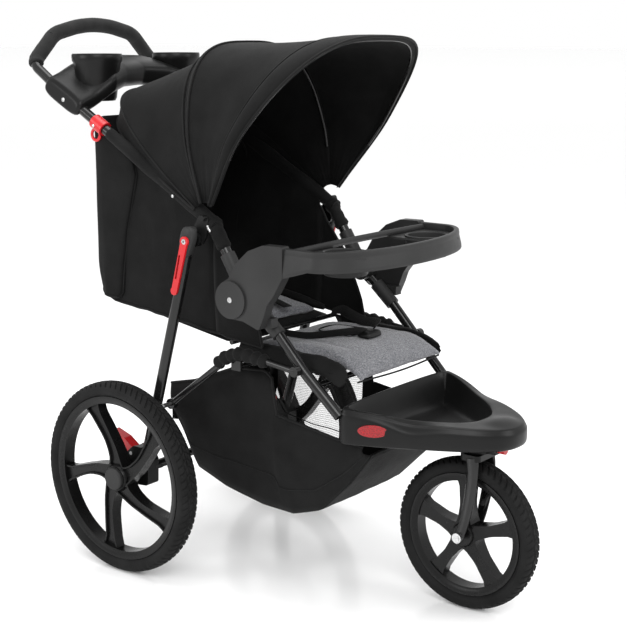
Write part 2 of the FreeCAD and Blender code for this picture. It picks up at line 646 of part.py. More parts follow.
def main():
    os.makedirs("parts", exist_ok=True)
    rear_wheels()
    front_wheel()
    rear_frame()
    brake_pedals()
    side_latches()
    basket()
    upper_frame()
    console()
    fold_triggers()
    canopy()
    front_frame()
    footrest()
    fork()
    child_tray()
    seat_frame()
    backrest()
    seat_sides()


main()
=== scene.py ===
"""The looks of a three-wheel folding stroller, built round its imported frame.

Metres, +Z up, the front at -Y and the left side at -X. Places that more than one piece needs are
named below or measured from the frame; mm() turns millimetres into metres.
"""
import json
import math

import bmesh
import bpy
import numpy as np
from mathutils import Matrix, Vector, noise


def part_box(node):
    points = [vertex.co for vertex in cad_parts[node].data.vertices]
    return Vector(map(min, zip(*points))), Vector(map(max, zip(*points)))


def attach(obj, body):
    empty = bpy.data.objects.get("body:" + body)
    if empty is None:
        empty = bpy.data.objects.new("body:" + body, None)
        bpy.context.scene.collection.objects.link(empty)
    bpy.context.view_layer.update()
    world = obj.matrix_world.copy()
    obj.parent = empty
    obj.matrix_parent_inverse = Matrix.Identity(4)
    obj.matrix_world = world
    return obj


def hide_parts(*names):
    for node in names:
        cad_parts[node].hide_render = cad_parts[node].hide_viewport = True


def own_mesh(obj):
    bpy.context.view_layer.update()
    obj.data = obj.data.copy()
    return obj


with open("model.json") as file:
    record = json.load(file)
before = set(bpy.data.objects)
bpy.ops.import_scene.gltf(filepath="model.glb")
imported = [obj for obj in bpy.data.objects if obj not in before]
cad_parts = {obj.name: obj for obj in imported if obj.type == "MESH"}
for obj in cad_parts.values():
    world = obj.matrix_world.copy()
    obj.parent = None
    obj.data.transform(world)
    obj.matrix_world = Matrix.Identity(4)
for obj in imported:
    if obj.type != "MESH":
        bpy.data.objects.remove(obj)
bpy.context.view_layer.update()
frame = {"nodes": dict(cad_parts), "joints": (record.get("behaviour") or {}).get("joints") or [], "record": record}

SCENE = bpy.context.scene
SIDES = {"left": -1, "right": 1}
JOINTS = {joint["name"]: joint for joint in frame["joints"]}


def mm(*values):
    """Millimetres to metres, as one number or a vector."""
    return values[0] / 1000 if len(values) == 1 else Vector(values) / 1000


def mms(*values):
    """A list of millimetres as metres."""
    return [value / 1000 for value in values]


# Places shared by several pieces
CANOPY_PIVOT = Vector(JOINTS["canopy_fold"]["pos_m"])
HUB = Vector(JOINTS["front_frame_fold"]["pos_m"])
RECLINE = Vector(JOINTS["recline"]["pos_m"])
BACK_TURN = math.radians(9)             # the reclined backrest, above level
TUBE_SLOPE = 237 / 424                  # rise of the handle tubes over their run
TUBE_BEND = (mm(44), mm(742))           # y and z where the handle tubes turn upwards
TUBE_X = mm(194)
POD_X = mm(176)                         # side panels of the seat pod
POD_REAR = mm(394)
# canopy bows: angle forward of upright, height over the pivot, half width, and how far the crown of
# the arch leans on past its feet
TAIL = (-60.8, mm(396), mm(206.5), 0.0)
REAR_BOW = (-54.0, mm(408), mm(208.5), 0.0)
RIDGE = (-8.0, mm(338), mm(224), 0.0)
VISOR_BACK = (-12.0, mm(344.5), mm(227), 0.0)
VISOR_FRONT = (34.0, mm(444), mm(248), 4.0)
FOOT_HALF = mm(209)                     # every arch comes in to this half width at its feet
HEM = mm(30)                            # the canopy starts this far from its pivot
CHEVRON = 2.4                           # the tread runs on by half this many blocks from middle to edge
TYRE_DEPTH = mm(32)                     # from the tread in to the rim
FRONT_COLUMNS = 14                      # columns of the pod's sheet in each front corner
STRAP_X = mm(47)                        # shoulder straps, from the middle
BASKET_Y = (mm(-300), mm(197))          # front and back of the basket's cloth


# ---- mesh helpers -------------------------------------------------------------------------------
def loft(rings, closed=True, capped=True, looped=False):
    """A skin through rings of points. A looped one joins its last ring to its first."""
    rings = np.asarray(rings, float)
    count, size = rings.shape[:2]
    points = [tuple(p) for p in rings.reshape(-1, 3)]
    faces = []
    for i in range(count if looped else count - 1):
        a, b = i * size, (i + 1) % count * size
        for j in range(size if closed else size - 1):
            k = (j + 1) % size
            faces.append((a + j, a + k, b + k, b + j))
    if closed and capped and not looped:
        faces.append(tuple(reversed(range(size))))
        faces.append(tuple(range((count - 1) * size, count * size)))
    return points, faces


def mirrored(side, rows):
    """Points in millimetres as metres, on the given side."""
    return [(side * mm(x), mm(y), mm(z)) for x, y, z in rows]


def merge(solids):
    """Several solids as one list of points and one of faces."""
    points, faces = [], []
    for some_points, some_faces in solids:
        base = len(points)
        points += [tuple(p) for p in some_points]
        faces += [tuple(i + base for i in face) for face in some_faces]
    return points, faces


def revolve(profile, centre, axis="X", steps=48):
    """Turn a closed outline of (radius, along) points about an axis through centre."""
    rings = []
    for i in range(steps):
        a = math.tau * i / steps
        c, s = math.cos(a), math.sin(a)
        if axis == "X":
            rings.append([(d, r * c, r * s) for r, d in profile])
        else:
            rings.append([(r * c, r * s, d) for r, d in profile])
    return loft(np.array(rings) + np.array(centre), looped=True)


def smooth_line(points, per=8):
    """A Catmull-Rom line through the points."""
    p = np.array([tuple(q) for q in points], float)
    p = np.vstack([2 * p[0] - p[1], p, 2 * p[-1] - p[-2]])
    out = []
    for i in range(1, len(p) - 2):
        for k in range(per):
            t = k / per
            a, b, c, d = p[i - 1:i + 3]
            out.append(0.5 * (2 * b + (c - a) * t + (2 * a - 5 * b + 4 * c - d) * t * t
                              + (3 * b - a - 3 * c + d) * t ** 3))
    out.append(p[-2])
    return np.array(out)


def bent_line(points, radii, per=8):
    """Straight runs joined by tangent arcs, one radius for each inner point."""
    p = [Vector(q) for q in points]
    out = [p[0]]
    for corner, before, after, radius in zip(p[1:-1], p, p[2:], radii):
        a = (before - corner).normalized()
        b = (after - corner).normalized()
        half = a.angle(b) / 2
        middle = corner + (a + b).normalized() * radius / math.sin(half)
        start = corner + a * radius / math.tan(half) - middle
        end = corner + b * radius / math.tan(half) - middle
        out += [middle + start.slerp(end, k / per).normalized() * radius for k in range(per + 1)]
    return np.array([tuple(q) for q in out + [p[-1]]])


def frames(points, across=None):
    """Unit tangents, and two unit vectors across each, that don't twist along the line."""
    points = np.asarray(points, float)
    tangents = np.gradient(points, axis=0)
    tangents /= np.linalg.norm(tangents, axis=1)[:, None]
    side = np.array(across if across is not None else (0.0, 0.0, 1.0))
    if abs(tangents[0] @ side) > 0.9 and across is None:
        side = np.array((1.0, 0.0, 0.0))
    sides = []
    for t in tangents:
        side = side - t * (side @ t)
        side = side / np.linalg.norm(side)
        sides.append(side)
    sides = np.array(sides)
    return tangents, sides, np.cross(tangents, sides)


def rod(points, radius, sides=14, ratio=1.0, across=None):
    """A round or oval rod along a line. radius is one number, or one for each point."""
    points = np.asarray(points, float)
    _, u, v = frames(points, across)
    r = np.broadcast_to(radius, len(points))
    rings = []
    for p, a, b, size in zip(points, u, v, r):
        turn = [math.tau * k / sides for k in range(sides)]
        rings.append([p + a * size * math.cos(t) + b * size * ratio * math.sin(t) for t in turn])
    return loft(rings)


def piping(points, radius):
    """A run of piping or thread."""
    return rod(points, radius, sides=8)


def stud(foot, side, heights, radii, sides=16):
    """A short pin standing out to a side, its end drawn in. Heights and radii are in millimetres."""
    line = [foot] + [foot + Vector((side * mm(height), 0, 0)) for height in heights]
    return rod(line, mms(*radii), sides=sides)


def strap(points, across, width, thick=mm(1.6)):
    """Flat webbing along a line, with rounded edges, lying across the given direction."""
    _, u, v = frames(points, across)
    half, edge = width / 2, thick / 2
    section = [(-half, 0), (-half + edge, edge), (0, edge * 1.15), (half - edge, edge)]
    section += [(half, 0), (half - edge, -edge), (0, -edge * 1.15), (-half + edge, -edge)]
    rings = [[p + a * s + b * t for s, t in section] for p, a, b in zip(points, u, v)]
    return loft(rings)


def outline(corners, cuts=4, count=72):
    """A closed outline with its corners rounded off, as evenly spaced (x, y) points."""
    p = np.array(corners, float)
    for _ in range(cuts):
        q = np.roll(p, -1, axis=0)
        p = np.stack([p * 0.78 + q * 0.22, p * 0.22 + q * 0.78], axis=1).reshape(-1, 2)
    p = np.vstack([p, p[:1]])
    reach = np.concatenate([[0], np.cumsum(np.linalg.norm(np.diff(p, axis=0), axis=1))])
    at = np.linspace(0, reach[-1], count, endpoint=False)
    return np.stack([np.interp(at, reach, p[:, i]) for i in range(2)], axis=1)


def inset(line, by):
    """The outline moved inwards."""
    ahead = np.roll(line, -1, axis=0) - np.roll(line, 1, axis=0)
    normal = np.stack([-ahead[:, 1], ahead[:, 0]], axis=1)
    normal /= np.linalg.norm(normal, axis=1)[:, None]
    inward = np.sign(((line.mean(axis=0) - line) * normal).sum(axis=1).sum())
    return line + normal * by * inward


def ripple(point, scale, seed=0.0):
    """Soft noise from -1 to 1."""
    return noise.noise(Vector(point) * scale + Vector((seed, seed * 0.7, -seed)))


def make(name, solid, look, body, crease=50, skin=0.0, levels=0, stands_for=()):
    """An object from points and faces, riding on a body. look is a slot, or one of its variants."""
    slot, material = (look, LOOKS[look]) if isinstance(look, str) else look
    mesh = bpy.data.meshes.new(name)
    mesh.from_pydata([tuple(p) for p in solid[0]], [], solid[1])
    work = bmesh.new()
    work.from_mesh(mesh)
    bmesh.ops.remove_doubles(work, verts=work.verts, dist=mm(0.01))
    bmesh.ops.recalc_face_normals(work, faces=work.faces)
    work.to_mesh(mesh)
    work.free()
    mesh.polygons.foreach_set("use_smooth", [True] * len(mesh.polygons))
    mesh.set_sharp_from_angle(angle=math.radians(crease))
    mesh.materials.append(material)
    obj = bpy.data.objects.new(name, mesh)
    SCENE.collection.objects.link(obj)
    if skin:
        shell = obj.modifiers.new("skin", "SOLIDIFY")
        shell.thickness = skin
        shell.offset = 0
    if levels:
        rounded = obj.modifiers.new("round", "SUBSURF")
        rounded.levels = rounded.render_levels = levels
    if body:
        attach(obj, body)
    if stands_for:
        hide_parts(*stands_for)
    return obj


def cloth_of(grid):
    """Turn a piece's grid into an array; nothing more is done with it."""
    grid = np.array(grid, float)


def applied(obj):
    """The object's mesh with its modifiers applied."""
    graph = bpy.context.evaluated_depsgraph_get()
    mesh = bpy.data.meshes.new_from_object(obj.evaluated_get(graph))
    obj.modifiers.clear()
    obj.data = mesh
    return mesh


def positions(mesh):
    """The mesh's points, one row each."""
    flat = np.empty(len(mesh.vertices) * 3, np.float32)
    mesh.vertices.foreach_get("co", flat)
    return flat.reshape(-1, 3).astype(float)


def place(mesh, points):
    """Put the mesh's points at the given rows."""
    mesh.vertices.foreach_set("co", np.asarray(points, np.float32).ravel())
    mesh.update()


def remesh(obj, voxel, rounds=0):
    """One even skin round everything in the object, softened."""
    even = obj.modifiers.new("even", "REMESH")
    even.mode = "VOXEL"
    even.voxel_size = voxel
    even.use_smooth_shade = True
    if rounds:
        soft = obj.modifiers.new("soft", "SMOOTH")
        soft.factor = 0.5
        soft.iterations = rounds
    return applied(obj)


def puff(obj, pressure=4.0, cap=mm(9), voxel=mm(5), frames_run=20):
    """Inflate a closed pad as cloth, moving no point further than the cap."""
    remesh(obj, voxel, rounds=2)
    start = positions(obj.data)
    cloth = obj.modifiers.new("cloth", "CLOTH")
    cloth.settings.quality = 5
    cloth.settings.mass = 0.3
    cloth.settings.use_pressure = True
    cloth.settings.uniform_pressure_force = pressure
    cloth.settings.effector_weights.gravity = 0
    cloth.point_cache.frame_start = 1
    cloth.point_cache.frame_end = frames_run
    for step in range(1, frames_run + 1):
        SCENE.frame_set(step)
    mesh = applied(obj)
    SCENE.frame_set(1)
    move = positions(mesh) - start
    size = np.linalg.norm(move, axis=1)[:, None]
    place(mesh, start + move * np.minimum(1, cap / np.maximum(size, 1e-9)))
    finer = obj.modifiers.new("finer", "SUBSURF")
    finer.levels = finer.render_levels = 1
    mesh = applied(obj)
    mesh.polygons.foreach_set("use_smooth", [True] * len(mesh.polygons))


def sew(obj, lines, depth=mm(4), width=mm(5)):
    """Press sewn lines into a pad. Each line is two ends, or more points, in the row frame."""
    mesh = obj.data
    points = positions(mesh)
    normals = np.array([v.normal[:] for v in mesh.vertices])
    for line in lines:
        line = np.array([tuple(p) for p in line], float)
        near = np.full(len(points), 9.0)
        for a, b in zip(line, line[1:]):
            along = b - a
            t = np.clip(((points - a) @ along) / (along @ along), 0, 1)
            near = np.minimum(near, np.linalg.norm(points - a - t[:, None] * along, axis=1))
        points -= normals * (depth * np.exp(-(near / width) ** 2))[:, None]
    place(mesh, points)


def wrinkle(obj, size, scale, seed=0.0):
    """Uneven cloth: move each point along its normal by soft noise."""
    mesh = obj.data
    points = positions(mesh)
    shift = np.array([ripple(p, scale, seed) + 0.5 * ripple(p, scale * 2.3, seed + 5) for p in points])
    normals = np.array([v.normal[:] for v in mesh.vertices])
    place(mesh, points + normals * (shift * size)[:, None])


# ---- materials ----------------------------------------------------------------------------------
class Look:
    """A Principled material, with short ways to wire its colour, roughness and bump."""

    def __init__(self, name, rough, metallic=0.0, **sockets):
        self.mat = bpy.data.materials.new(name)
        self.mat.use_nodes = True
        self.tree = self.mat.node_tree
        self.shader = self.tree.nodes["Principled BSDF"]
        self.shader.inputs["Roughness"].default_value = rough
        self.shader.inputs["Metallic"].default_value = metallic
        for socket, value in sockets.items():
            self.shader.inputs[socket.replace("_", " ")].default_value = value
        self.normal = None

    def node(self, kind, **values):
        made = self.tree.nodes.new("ShaderNode" + kind)
        for socket, value in values.items():
            made.inputs[socket.replace("_", " ")].default_value = value
        return made

    def join(self, a, b):
        self.tree.links.new(a, b)

    def speckle(self, scale, detail=3.0, stretch=(1, 1, 1)):
        """Noise at the object's own scale, per metre."""
        where = self.node("TexCoord")
        size = self.node("Mapping")
        size.inputs["Scale"].default_value = stretch
        spots = self.node("TexNoise", Scale=scale, Detail=detail)
        self.join(where.outputs["Object"], size.inputs["Vector"])
        self.join(size.outputs["Vector"], spots.inputs["Vector"])
        return spots.outputs["Fac"]

    def threads(self, pitch, way):
        """Fine parallel ridges across one direction."""
        where = self.node("TexCoord")
        lines = self.node("TexWave", Scale=0.314 / pitch, Distortion=1.2, Detail=1.0, Detail_Scale=2.0)
        lines.bands_direction = way
        self.join(where.outputs["Object"], lines.inputs["Vector"])
        return lines.outputs["Fac"]

    def add(self, a, b):
        made = self.node("Math")
        made.operation = "ADD"
        self.join(a, made.inputs[0])
        self.join(b, made.inputs[1])
        return made.outputs[0]

    def paint(self, fac, stops):
        """Base colour from a ramp of (place, shade) stops."""
        ramp = self.node("ValToRGB")
        cells = ramp.color_ramp.elements
        while len(cells) < len(stops):
            cells.new(0.5)
        for cell, (at, shade) in zip(cells, stops):
            cell.position = at
            cell.color = (*shade, 1)
        self.join(fac, ramp.inputs["Fac"])
        self.join(ramp.outputs["Color"], self.shader.inputs["Base Color"])

    def roughness(self, fac, low, high):
        span = self.node("MapRange")
        span.inputs["To Min"].default_value = low
        span.inputs["To Max"].default_value = high
        self.join(fac, span.inputs["Value"])
        self.join(span.outputs["Result"], self.shader.inputs["Roughness"])

    def bump(self, height, strength, distance):
        made = self.node("Bump", Strength=strength, Distance=distance)
        self.join(height, made.inputs["Height"])
        if self.normal:
            self.join(self.normal, made.inputs["Normal"])
        self.normal = made.outputs["Normal"]
        self.join(self.normal, self.shader.inputs["Normal"])


def grey(value, tint=0.0):
    """A grey, drawn towards blue by tint."""
    return (value * (1 - tint * 0.4), value * (1 - tint * 0.2), value * (1 + tint))


def moulding(name, shade, low, high, grain=0.12, scuff=1.25, gloss=0.16):
    """Moulded plastic: a fine spark-eroded grain, uneven gloss and faint lighter scuffs."""
    look = Look(name, low, IOR=1.5, Specular_IOR_Level=gloss)
    look.paint(look.speckle(9, 4), [(0.3, [c * 0.86 for c in shade]), (0.7, [c * scuff for c in shade])])
    look.roughness(look.speckle(38, 5), low, high)
    look.bump(look.speckle(1500, 2), grain, mm(0.35))
    look.bump(look.speckle(55, 2), 0.05, mm(1.2))
    return look.mat


def enamel():
    """Gloss black paint on steel tube, with a slight orange peel."""
    look = Look("tube_enamel", 0.16, Specular_IOR_Level=0.25, Coat_Weight=0.15, Coat_Roughness=0.06)
    look.paint(look.speckle(14, 3), [(0.3, grey(0.004)), (0.75, grey(0.009))])
    look.roughness(look.speckle(60, 4), 0.13, 0.27)
    look.bump(look.speckle(420, 2), 0.06, mm(0.3))
    return look.mat


def steel(name, low, high, shade):
    """Bright plated steel, faintly brushed."""
    look = Look(name, low, metallic=1.0)
    look.paint(look.speckle(120, 3, (1, 1, 6)), [(0.3, grey(shade * 0.7)), (0.7, grey(shade))])
    look.roughness(look.speckle(300, 4), low, high)
    look.bump(look.speckle(900, 2, (1, 8, 8)), 0.1, mm(0.15))
    return look.mat


def rubber():
    """Tyre rubber: dull, a little dusty, with fine mould texture."""
    look = Look("tyre_rubber_worn", 0.62, IOR=1.48, Specular_IOR_Level=0.10)
    look.paint(look.speckle(22, 5), [(0.25, grey(0.0055)), (0.8, grey(0.012))])
    look.roughness(look.speckle(70, 4), 0.50, 0.72)
    look.bump(look.speckle(1100, 3), 0.25, mm(0.3))
    return look.mat


def foam():
    """Closed-cell foam."""
    look = Look("foam_cells", 0.9, Sheen_Weight=0.05, Sheen_Roughness=0.6, Specular_IOR_Level=0.15)
    cells = look.node("TexVoronoi", Scale=1400)
    where = look.node("TexCoord")
    look.join(where.outputs["Object"], cells.inputs["Vector"])
    look.paint(look.speckle(40, 4), [(0.3, grey(0.009)), (0.75, grey(0.018))])
    look.bump(cells.outputs["Distance"], 0.5, mm(0.5))
    look.bump(look.speckle(90, 3), 0.15, mm(1.2))
    return look.mat


def cloth(name, dark, light, pitch=mm(0.9), sheen=0.03, rough=0.74, weave=0.3):
    """Woven cloth: crossing threads, patchy colour and a soft sheen."""
    look = Look(name, rough, Sheen_Weight=sheen, Sheen_Roughness=0.45, Specular_IOR_Level=0.09)
    threads = look.add(look.threads(pitch, "X"), look.threads(pitch, "Y"))
    threads = look.add(threads, look.threads(pitch, "Z"))
    look.paint(look.speckle(16, 6), [(0.3, dark), (0.7, light)])
    look.roughness(look.speckle(45, 4), rough - 0.08, rough + 0.08)
    look.bump(threads, weave, mm(0.25))
    look.bump(look.speckle(130, 3), 0.12, mm(0.8))
    return look.mat


def heather():
    """Grey melange cloth: short light and dark fibres with a faint violet cast."""
    look = Look("heather_cloth", 0.9, Sheen_Weight=0.3, Sheen_Roughness=0.5, Specular_IOR_Level=0.25)
    fibres = look.add(look.speckle(900, 6, (1, 0.22, 1)), look.speckle(700, 5, (0.25, 1, 1)))
    both = look.add(fibres, look.speckle(320, 4))
    stops = [(0.40, grey(0.055, 0.08)), (0.5, grey(0.125, 0.07)), (0.61, grey(0.24, 0.05))]
    third = look.node("Math")
    third.operation = "MULTIPLY"
    third.inputs[1].default_value = 1 / 3
    look.join(both, third.inputs[0])
    look.paint(third.outputs[0], stops)
    threads = look.add(look.threads(mm(1.1), "X"), look.threads(mm(1.1), "Y"))
    look.bump(threads, 0.4, mm(0.3))
    look.bump(fibres, 0.3, mm(0.3))
    return look.mat


def lens():
    """Red reflector: small prisms under a clear coat."""
    look = Look("lens_prisms", 0.12, Specular_IOR_Level=0.3, Coat_Weight=0.3, Coat_Roughness=0.04)
    cells = look.node("TexVoronoi", Scale=420)
    where = look.node("TexCoord")
    look.join(where.outputs["Object"], cells.inputs["Vector"])
    look.paint(cells.outputs["Distance"], [(0.0, (0.36, 0.004, 0.008)), (0.9, (0.13, 0.001, 0.003))])
    look.bump(cells.outputs["Distance"], 0.5, mm(0.6))
    return look.mat


LOOKS = {
    "tube_black": enamel(),
    "wire_steel": steel("plated_steel", 0.22, 0.42, 0.55),
    "plastic_black": moulding("plastic_black_grained", grey(0.0055), 0.26, 0.42),
    "plastic_grey": moulding("plastic_grey_grained", grey(0.021), 0.36, 0.52),
    "plastic_red": moulding("plastic_red_gloss", (0.46, 0.008, 0.012), 0.24, 0.38, grain=0.06,
                            scuff=1.1, gloss=0.45),
    "lens_red": lens(),
    "tyre_rubber": rubber(),
    "foam": foam(),
    "fabric_black": cloth("canopy_cloth", grey(0.0035), grey(0.0065)),
    "fabric_grey": heather(),
}
# variants of a look, each with the slot it belongs to
SOFT_BLACK = "fabric_black", cloth("seat_cloth", grey(0.004), grey(0.008), pitch=mm(1.2))
BINDING = "fabric_black", cloth("binding_tape", grey(0.005), grey(0.010), pitch=mm(0.6), rough=0.6)
WEBBING = "fabric_black", cloth("webbing", grey(0.006), grey(0.012), pitch=mm(1.5), rough=0.55, weave=0.8)
NETTING = "fabric_black", cloth("netting", grey(0.010), grey(0.020), pitch=mm(0.5))
RIM_PLASTIC = "plastic_black", moulding("rim_plastic", grey(0.0045), 0.22, 0.34, grain=0.05)


def paint_frame():
    """Give every carried-over CAD node the look of its slot."""
    slots = {part["node"]: part["material_slot"] for part in frame["record"]["subparts"]}
    for name, obj in frame["nodes"].items():
        obj.data.materials.clear()
        obj.data.materials.append(LOOKS[slots[name]])


# ---- wheels -------------------------------------------------------------------------------------
def tyre(name, node, body, blocks):
    """A pneumatic tyre: rounded walls, a bead line, and chevron blocks cut by sipes."""
    low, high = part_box(node)
    centre = (low + high) / 2
    radius = (high.z - low.z) / 2
    half = (high.x - low.x) / 2
    profile = []
    for k in range(45):
        a = math.radians(-152 + 304 * k / 44)
        wide = math.copysign(abs(math.sin(a)) ** 0.86, a)
        tall = math.copysign(abs(math.cos(a)) ** 0.80, math.cos(a))
        profile.append((radius - TYRE_DEPTH / 2 + tall * TYRE_DEPTH / 2, wide * half))
    profile = np.array(profile)
    per = 8
    steps = blocks * per
    rings = []
    for i in range(steps):
        in_groove = i % per >= per - 2
        odd = (i // per) % 2
        ring = []
        for r, x in profile:
            s = abs(x) / half
            tread = r > radius - mm(8)
            turn = math.tau * (i + CHEVRON * s * per / 2) / steps
            drop = 0.0
            if tread:
                zig = 0.30 + (0.10 if odd else 0.0)
                if in_groove and s > 0.16:
                    drop = mm(2.6)
                if abs(s - zig) < 0.045:
                    drop = mm(2.4)
                if s < 0.045:
                    drop = mm(1.6)
            elif r > radius - mm(13):
                drop = mm(1.4) if i % per in (2, 3, 4) and odd else 0.0
            elif abs(r - (radius - mm(24))) < mm(0.9):
                drop = -mm(0.7)
            ring.append((x, (r - drop) * math.cos(turn), (r - drop) * math.sin(turn)))
        rings.append(ring)
    solid = loft(np.array(rings) + np.array(centre), looped=True)
    make(name, solid, "tyre_rubber", body, crease=38, stands_for=[node])


def spoke(centre, angle, swing, inner, outer, widths, depths, rib):
    """One spoke with raised edges, from hub to rim, turning by swing on the way."""
    rings = []
    for k in range(13):
        f = k / 12
        r = inner + (outer - inner) * f
        turn = angle + swing * (1 - (1 - f) ** 1.7)
        wide = np.interp(f, [0, 0.12, 0.45, 0.85, 1], widths)
        deep = np.interp(f, [0, 0.3, 1], depths)
        flat = max(deep - rib, mm(2))
        section = [(-wide, deep), (-wide + mm(3.4), deep), (-wide + mm(5), flat), (wide - mm(5), flat)]
        section += [(wide - mm(3.4), deep), (wide, deep), (wide, -deep), (wide - mm(3.4), -deep)]
        section += [(wide - mm(5), -flat), (-wide + mm(5), -flat), (-wide + mm(3.4), -deep), (-wide, -deep)]
        c, s = math.cos(turn), math.sin(turn)
        rings.append([(x, u * -s + r * c, u * c + r * s) for u, x in section])
    return loft(np.array(rings) + np.array(centre))


def rim(name, node, tyre_node, body, front=False):
    """A five-spoke moulded rim with its flanges, hub and valve."""
    low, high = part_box(tyre_node)
    centre = (low + high) / 2
    seat = (high.z - low.z) / 2 - TYRE_DEPTH
    band = [(seat, mm(-15)), (seat + mm(2.5), mm(-15.6)), (seat + mm(2.8), mm(-18)), (seat - mm(4), mm(-18))]
    band += [(seat - mm(8), mm(-15.5)), (seat - mm(13), mm(-14.5)), (seat - mm(13), mm(14.5))]
    band += [(seat - mm(8), mm(15.5)), (seat - mm(4), mm(18)), (seat + mm(2.8), mm(18))]
    band += [(seat + mm(2.5), mm(15.6)), (seat, mm(15))]
    solids = [revolve(band, centre, steps=144)]
    hub_r, hub_half = (mm(24), mm(22)) if front else (mm(29), mm(18))
    bore = mm(6.2)
    hub = [(bore, -hub_half), (hub_r - mm(3), -hub_half), (hub_r, -hub_half + mm(4))]
    hub += [(hub_r + mm(2), 0), (hub_r, hub_half - mm(4)), (hub_r - mm(3), hub_half), (bore, hub_half)]
    solids.append(revolve(hub, centre))
    # the rear spokes sweep forward on their way out, and the front ones are straight
    if front:
        swing, start, root, rib = 0.0, math.radians(90), mm(7), 0
        widths, depths = mms(21, 14, 10.5, 14, 21), mms(18, 15, 12)
    else:
        swing, start, root, rib = -math.radians(27), math.radians(90 - 16), mm(8), mm(5)
        widths, depths = mms(22, 15, 11.5, 14, 21), mms(15, 13, 11)
    for i in range(5):
        angle = start - swing * 0.62 + math.tau * i / 5
        solids.append(spoke(centre, angle, swing, hub_r - root, seat - mm(9), widths, depths, rib))
    make(name, merge(solids), RIM_PLASTIC, body, crease=35, stands_for=[node])
    a = math.radians(118 if front else 158)
    foot = Vector(centre) + Vector((0, math.cos(a), math.sin(a))) * (seat - mm(10))
    way = Vector((-0.35, -math.cos(a), -math.sin(a))).normalized()
    stem = rod([foot, foot + way * mm(14), foot + way * mm(30)], mms(3.6, 2.8, 2.8))
    cap = rod([foot + way * mm(24), foot + way * mm(25), foot + way * mm(35), foot + way * mm(36)],
              mms(3, 4, 4, 3))
    make(name + "_valve", merge([stem, cap]), "tyre_rubber", body)


def wheels():
    """Three tyres on their rims."""
    for name in SIDES:
        body = "rear_wheel_" + name
        tyre("tyre_rear_" + name, "rear_tyre_" + name, body, blocks=84)
        rim("rim_rear_" + name, "rear_rim_" + name, "rear_tyre_" + name, body)
    tyre("tyre_front", "front_tyre", "front_wheel", blocks=64)
    rim("rim_front", "front_rim", "front_tyre", "front_wheel", front=True)


# ---- canopy -------------------------------------------------------------------------------------
def bow_between(back, front, angle):
    """Angle, height and half width of the skin between two bows at an angle."""
    crown = angle + (front[3] - back[3]) * (angle - back[0]) / (front[0] - back[0])
    first, last, turn = (math.radians(a) for a in (back[0], front[0] + front[3] - back[3], crown))
    reach = back[1] * front[1] * math.sin(last - first)
    reach /= back[1] * math.sin(turn - first) + front[1] * math.sin(last - turn)
    f = (angle - back[0]) / (front[0] - back[0])
    return angle, reach, back[2] + (front[2] - back[2]) * f, back[3] + (front[3] - back[3]) * f


def arch(bow, grow=0.0, count=65):
    """Points over a squared arch in the bow's plane, from the right hem to the left."""
    angle, height, half, peak = bow
    tall, wide = height + grow, half + grow
    first = math.asin((HEM / tall) ** (1 / 0.72))
    t = np.linspace(first, math.pi - first, count)
    rise = tall * np.sin(t) ** 0.72
    lean = np.radians(angle + peak * (rise / tall) ** 2)
    spread = np.clip(rise / tall / 0.5, 0, 1)
    wide = FOOT_HALF + grow + (wide - grow - FOOT_HALF) * spread ** 2 * (3 - 2 * spread)
    x = np.sign(np.cos(t)) * wide * np.abs(np.cos(t)) ** 0.62
    y = CANOPY_PIVOT.y - rise * np.sin(lean)
    z = CANOPY_PIVOT.z + rise * np.cos(lean)
    return np.stack([x, y, z], axis=1)


def gore(name, back, front, body, sag, seed, stands_for):
    """A cloth skin between two bows, a little hollow between them, with pulls near its hems."""
    rings = []
    count = 29
    for i in range(count):
        f = i / (count - 1)
        bow = bow_between(back, front, back[0] + (front[0] - back[0]) * f)
        points = arch(bow, -sag * 4 * f * (1 - f))
        middle = np.array([0, CANOPY_PIVOT.y, CANOPY_PIVOT.z])
        for p in points:
            reach = np.linalg.norm(p[1:] - middle[1:])
            near = math.exp(-reach / mm(70))
            belly = math.sin(math.pi * f)
            pull = mm(2.6) * near * math.sin(f * 21 + seed) + mm(1.1) * ripple(p, 11, seed) * belly
            p[0] -= math.copysign(abs(pull), p[0]) if abs(p[0]) > mm(60) else 0
            p[2] -= abs(mm(1.2) * ripple(p, 9, seed + 3)) * belly
        rings.append(points)
    skin = make(name, loft(rings, closed=False), "fabric_black", body, skin=mm(1.4),
                stands_for=stands_for)
    cloth_of(rings)
    return skin


def gather(obj):
    """Give the visor's piece a mesh of its own."""
    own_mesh(obj)


